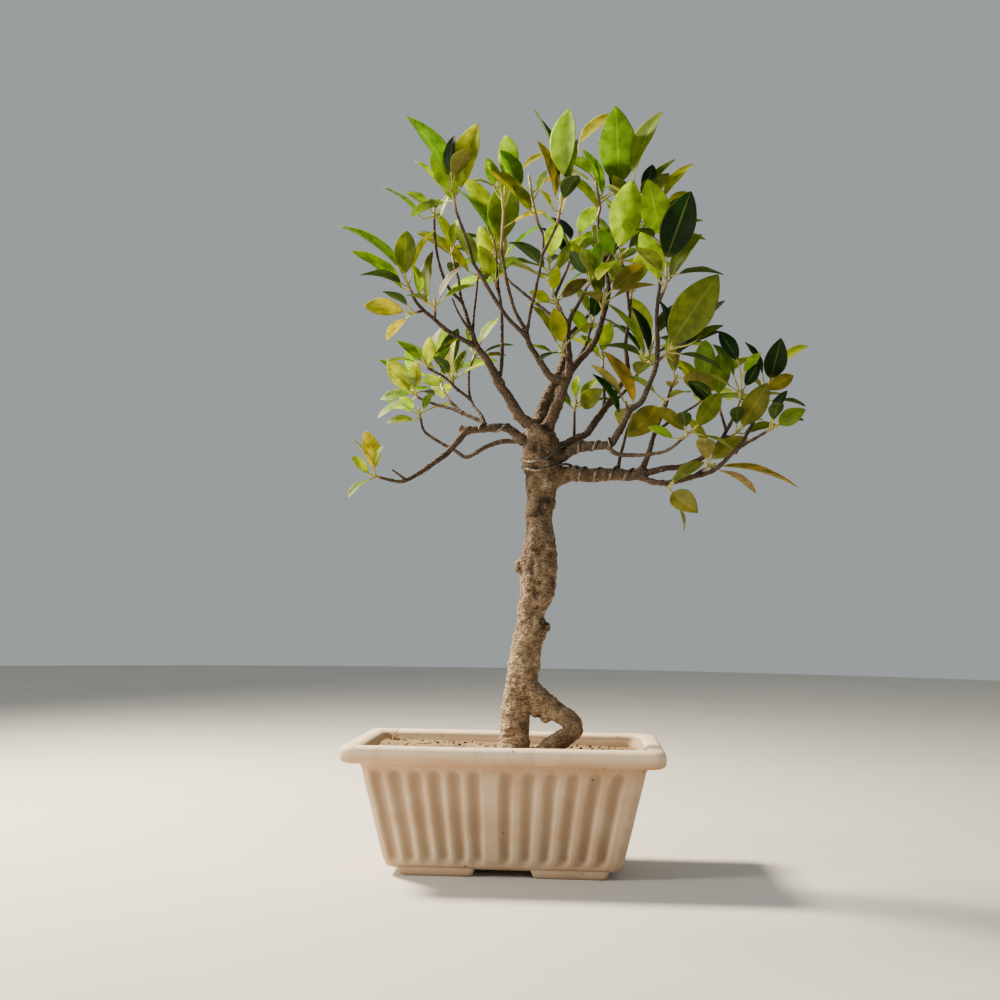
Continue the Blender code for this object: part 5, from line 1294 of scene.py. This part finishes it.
def figBark():
    # Fig bark: pale grey-tan with dark level cracks on old wood, greyer brown with pale corky spots on the
    # branches.
    # Painted shade darkens the pits and other sunken bark, and a painted highlight lightens the raised bark.
    # The girth attribute is the local radius in millimetres.
    made, tree = newMaterial("fig_bark")
    place = addNode(tree, "TexCoord", {}, "Object")
    girth = addNode(tree, "Attribute", {}, "Fac", attribute_name="girth")
    relief = addNode(tree, "Attribute", {}, "Fac", attribute_name="relief")
    height = addNode(tree, "SeparateXYZ", {"Vector": place}, "Z")
    cloud = addNode(tree, "TexNoise", {"Vector": place, "Scale": 95.0, "Detail": 5.0, "Roughness": 0.65}, "Fac")
    flat = addNode(tree, "Mapping", {"Vector": place, "Scale": (1.0, 1.0, 2.4)}, "Vector")
    crack = addNode(tree, "TexNoise", {"Vector": flat, "Scale": 190.0, "Detail": 4.0, "Roughness": 0.6}, "Fac")
    grain = addNode(tree, "TexNoise", {"Vector": place, "Scale": 700.0, "Detail": 4.0, "Roughness": 0.7}, "Fac")
    spot = addNode(tree, "TexVoronoi", {"Vector": place, "Scale": 330.0}, "Distance")
    wart = addNode(tree, "TexVoronoi", {"Vector": flat, "Scale": 420.0}, "Distance")
    old = layered(tree, linear("#B59B7A"), [
        (cloud, 0.35, 0.65, 1.0, "#745C44"), (height, 0.15, 0.29, 0.75, "#58452F")])
    young = layered(tree, linear("#5C4C3D"), [(cloud, 0.38, 0.62, 1.0, "#382D24")])
    thick = addNode(tree, "MapRange", {"Value": girth, "From Min": 2.2, "From Max": 8.0}, "Result")
    body = addNode(tree, "Mix", {0: thick, 6: young, 7: old}, 2, data_type="RGBA")
    # painted shade where the relief sinks below the surface, painted highlight where it rises above it
    body = layered(tree, body, [
        (crack, 0.52, 0.66, 0.6, "#453424"), (relief, -0.15, -1.1, 0.9, "#2A1E16"),
        (relief, 0.5, 1.8, 0.45, "#D6C2A4"), (spot, 0.24, 0.10, 0.4, "#A58D70"),
        (wart, 0.35, 0.75, 0.5, "#43331F"), (wart, 0.22, 0.05, 0.3, "#CDB795"),
        (grain, 0.45, 0.75, 0.42, "#463629")])
    bump = addNode(tree, "Bump", {"Height": grain, "Strength": 0.85, "Distance": 0.0007}, "Normal")
    cracks = addNode(tree, "Bump", {"Height": crack, "Strength": 0.8, "Distance": 0.0014, "Normal": bump},
                     "Normal", invert=True)
    warts = addNode(tree, "Bump", {"Height": wart, "Strength": 0.9, "Distance": 0.0012, "Normal": cracks},
                    "Normal", invert=True)
    shader = addNode(tree, "BsdfPrincipled", {"Base Color": body, "Roughness": 0.86, "IOR": 1.45,
                                              "Specular IOR Level": 0.3, "Normal": warts}, "BSDF")
    addNode(tree, "OutputMaterial", {"Surface": shader})
    return made


def annealedAluminium():
    # Soft annealed aluminium wire, weathered outdoors: dull grey-brown bloom over a little silver.
    made, tree = newMaterial("annealed_aluminium")
    place = addNode(tree, "TexCoord", {}, "Object")
    bloom = addNode(tree, "TexNoise", {"Vector": place, "Scale": 260.0, "Detail": 4.0, "Roughness": 0.6}, "Fac")
    body = layered(tree, linear("#7A7063"), [(bloom, 0.4, 0.62, 1.0, "#544C41")])
    rough = addNode(tree, "MapRange", {"Value": bloom, "From Min": 0.35, "From Max": 0.7, "To Min": 0.42,
                                       "To Max": 0.62}, "Result")
    bump = addNode(tree, "Bump", {"Height": bloom, "Strength": 0.2, "Distance": 0.0003}, "Normal")
    shader = addNode(tree, "BsdfPrincipled", {"Base Color": body, "Metallic": 1.0, "Roughness": rough,
                                              "Normal": bump}, "BSDF")
    addNode(tree, "OutputMaterial", {"Surface": shader})
    return made


def figLeaf():
    # Living fig leaf: waxy upper face, duller paler underside, lighter midrib, faint side veins and margin.
    # Light from behind comes through as a brighter, yellower green.
    made, tree = newMaterial("waxy_fig_leaf")
    place = addNode(tree, "TexCoord", {}, "Object")
    own = addNode(tree, "Attribute", {}, "Color", attribute_name="leafColour")
    along = addNode(tree, "Attribute", {}, "Vector", attribute_name="bladePlace")
    blade = addNode(tree, "SeparateXYZ", {"Vector": along})
    out = addNode(tree, "Math", {0: blade.outputs["Y"]}, "Value", operation="ABSOLUTE")
    slant = addNode(tree, "Math", {0: out, 1: -2.6, 2: 0.0}, "Value", operation="MULTIPLY_ADD")
    count = addNode(tree, "Math", {0: blade.outputs["X"], 1: 15.0, 2: slant}, "Value", operation="MULTIPLY_ADD")
    vein = addNode(tree, "Math", {0: count, 1: 0.5}, "Value", operation="PINGPONG")
    mottle = addNode(tree, "TexNoise", {"Vector": place, "Scale": 120.0, "Detail": 4.0, "Roughness": 0.6},
                     "Fac")
    fine = addNode(tree, "TexNoise", {"Vector": place, "Scale": 1300.0, "Detail": 2.0}, "Fac")
    dark = addNode(tree, "Mix", {0: 1.0, 6: own, 7: linear("#C3CCAA")}, 2, data_type="RGBA",
                   blend_type="MULTIPLY")
    shaded = addNode(tree, "MapRange", {"Value": mottle, "From Min": 0.40, "From Max": 0.66}, "Result")
    body = addNode(tree, "Mix", {0: shaded, 6: own, 7: dark}, 2, data_type="RGBA")
    body = layered(tree, body, [
        (blade.outputs["X"], 0.14, 0.0, 0.4, "#979440"), (vein, 0.11, 0.02, 0.03, "#A5AC5C"),
        (out, 0.09, 0.02, 0.28, "#A5AC5C"), (out, 0.92, 0.985, 0.25, "#A0A352")])
    blemish = addNode(tree, "TexVoronoi", {"Vector": place, "Scale": 95.0})
    rare = addNode(tree, "SeparateColor", {"Color": blemish.outputs["Color"]}, "Blue")
    chosen = addNode(tree, "Math", {0: rare, 1: 0.87}, "Value", operation="GREATER_THAN")
    dot = addNode(tree, "MapRange", {"Value": blemish.outputs["Distance"], "From Min": 0.10, "From Max": 0.05},
                  "Result")
    spot = addNode(tree, "Math", {0: dot, 1: chosen}, "Value", operation="MULTIPLY")
    body = layered(tree, body, [(spot, 0.0, 1.0, 0.7, "#5B4A22")])
    bump = addNode(tree, "Bump", {"Height": vein, "Strength": 0.12, "Distance": 0.0003}, "Normal")
    skin = addNode(tree, "Bump", {"Height": fine, "Strength": 0.10, "Distance": 0.0002, "Normal": bump},
                   "Normal")
    rough = addNode(tree, "MapRange", {"Value": blade.outputs["Z"], "From Min": 0.2, "From Max": 0.8,
                                       "To Min": 0.75, "To Max": 0.52}, "Result")
    shader = addNode(tree, "BsdfPrincipled", {"Base Color": body, "Roughness": rough, "IOR": 1.45,
                                              "Specular IOR Level": 0.2, "Normal": skin}, "BSDF")
    through = addNode(tree, "HueSaturation", {"Color": body, "Hue": 0.496, "Saturation": 1.2, "Value": 2.1},
                      "Color")
    glow = addNode(tree, "BsdfTranslucent", {"Color": through}, "BSDF")
    both = addNode(tree, "MixShader", {0: 0.55, 1: shader, 2: glow}, "Shader")
    addNode(tree, "OutputMaterial", {"Surface": both})
    return made


def greenStem():
    # Young fig shoot: orange-brown at the twig, yellow-green towards the bud, petioles the palest.
    made, tree = newMaterial("young_green_stem")
    place = addNode(tree, "TexCoord", {}, "Object")
    age = addNode(tree, "Attribute", {}, "Fac", attribute_name="age")
    grain = addNode(tree, "TexNoise", {"Vector": place, "Scale": 600.0, "Detail": 3.0}, "Fac")
    body = layered(tree, linear("#6E5033"), [(age, 0.0, 0.5, 1.0, "#9A7C3E"), (age, 0.5, 1.1, 1.0, "#A3A24A"),
                                             (grain, 0.4, 0.7, 0.4, "#6B5A2C")])
    bump = addNode(tree, "Bump", {"Height": grain, "Strength": 0.3, "Distance": 0.0003}, "Normal")
    shader = addNode(tree, "BsdfPrincipled", {"Base Color": body, "Roughness": 0.55, "IOR": 1.45,
                                              "Normal": bump}, "BSDF")
    addNode(tree, "OutputMaterial", {"Surface": shader})
    return made


def plainFloor():
    # Plain pale matte board under the object.
    made, tree = newMaterial("pale_floor")
    place = addNode(tree, "TexCoord", {}, "Object")
    cloud = addNode(tree, "TexNoise", {"Vector": place, "Scale": 3.0, "Detail": 3.0}, "Fac")
    body = layered(tree, linear(room["floorColour"]), [(cloud, 0.3, 0.7, 1.0, "#CAC7BF")])
    shader = addNode(tree, "BsdfPrincipled", {"Base Color": body, "Roughness": 0.9, "Specular IOR Level": 0.1},
                     "BSDF")
    addNode(tree, "OutputMaterial", {"Surface": shader})
    return made


def placeCamera():
    # yaw turns left, pitch looks up, and roll lifts the picture's right side
    yaw, pitch, roll = (math.radians(camera[key]) for key in ("yaw", "pitch", "roll"))
    forward = Vector((-math.sin(yaw) * math.cos(pitch), math.cos(yaw) * math.cos(pitch), math.sin(pitch)))
    right = forward.cross(Vector((0, 0, 1))).normalized()
    right = right * math.cos(roll) + right.cross(forward) * math.sin(roll)
    upward = right.cross(forward)
    lens = bpy.data.cameras.new("viewCamera")
    lens.lens = camera["lens"]
    lens.sensor_width = 36.0
    lens.clip_start = 0.01
    holder = bpy.data.objects.new("viewCamera", lens)
    bpy.context.scene.collection.objects.link(holder)
    turned = Matrix((right, upward, -forward)).transposed().to_4x4()
    holder.matrix_world = Matrix.Translation(Vector(world(camera["place"]))) @ turned
    bpy.context.scene.camera = holder


def placeLamps():
    for name, (place, aim, size, power, colour) in lamps.items():
        lamp = bpy.data.lights.new(name + "Lamp", "AREA")
        lamp.shape = "DISK"
        lamp.size = size * mm
        lamp.energy = power
        lamp.color = linear(colour)[:3]
        holder = bpy.data.objects.new(name + "Lamp", lamp)
        bpy.context.scene.collection.objects.link(holder)
        holder.location = world(place)
        holder.rotation_euler = Vector(world(aim) - world(place)).to_track_quat("-Z", "Y").to_euler()


def placeRoom(finish):
    surroundings = bpy.data.worlds.new("studio")
    surroundings.use_nodes = True
    sky = surroundings.node_tree.nodes["Background"]
    sky.inputs["Color"].default_value = linear(room["sky"])
    sky.inputs["Strength"].default_value = room["skyStrength"]
    bpy.context.scene.world = surroundings
    angle = np.linspace(0, 2 * math.pi, 96, endpoint=False)
    ring = np.stack([np.cos(angle), np.sin(angle), angle * 0], axis=1) * room["floorRadius"]
    points = np.vstack([ring, [[0, 0, 0]]])
    floor = putMesh("pale_floor", points, capFaces(0, 96, 96, False).tolist(), finish)


leafFinishes = [figLeaf(), greenStem()]
placeCamera()
placeLamps()
placeRoom(plainFloor())
print("stage set")
makePot(paleStoneware())
print("pot made")
makeSoil(sandySoil())
makeCrumbs(looseGrains("soil_crumbs", "#30241A", "#6E5840", "#A58D6A"))
makeDryBits(looseGrains("dry_stalks", "#4A3524", "#8A6D49", "#C9B588"))
print("soil made")
barkedWood = makeWood(figBark())
makeWires(barkedWood, annealedAluminium())
print("wood and wires made")
makeShoots(leafFinishes)
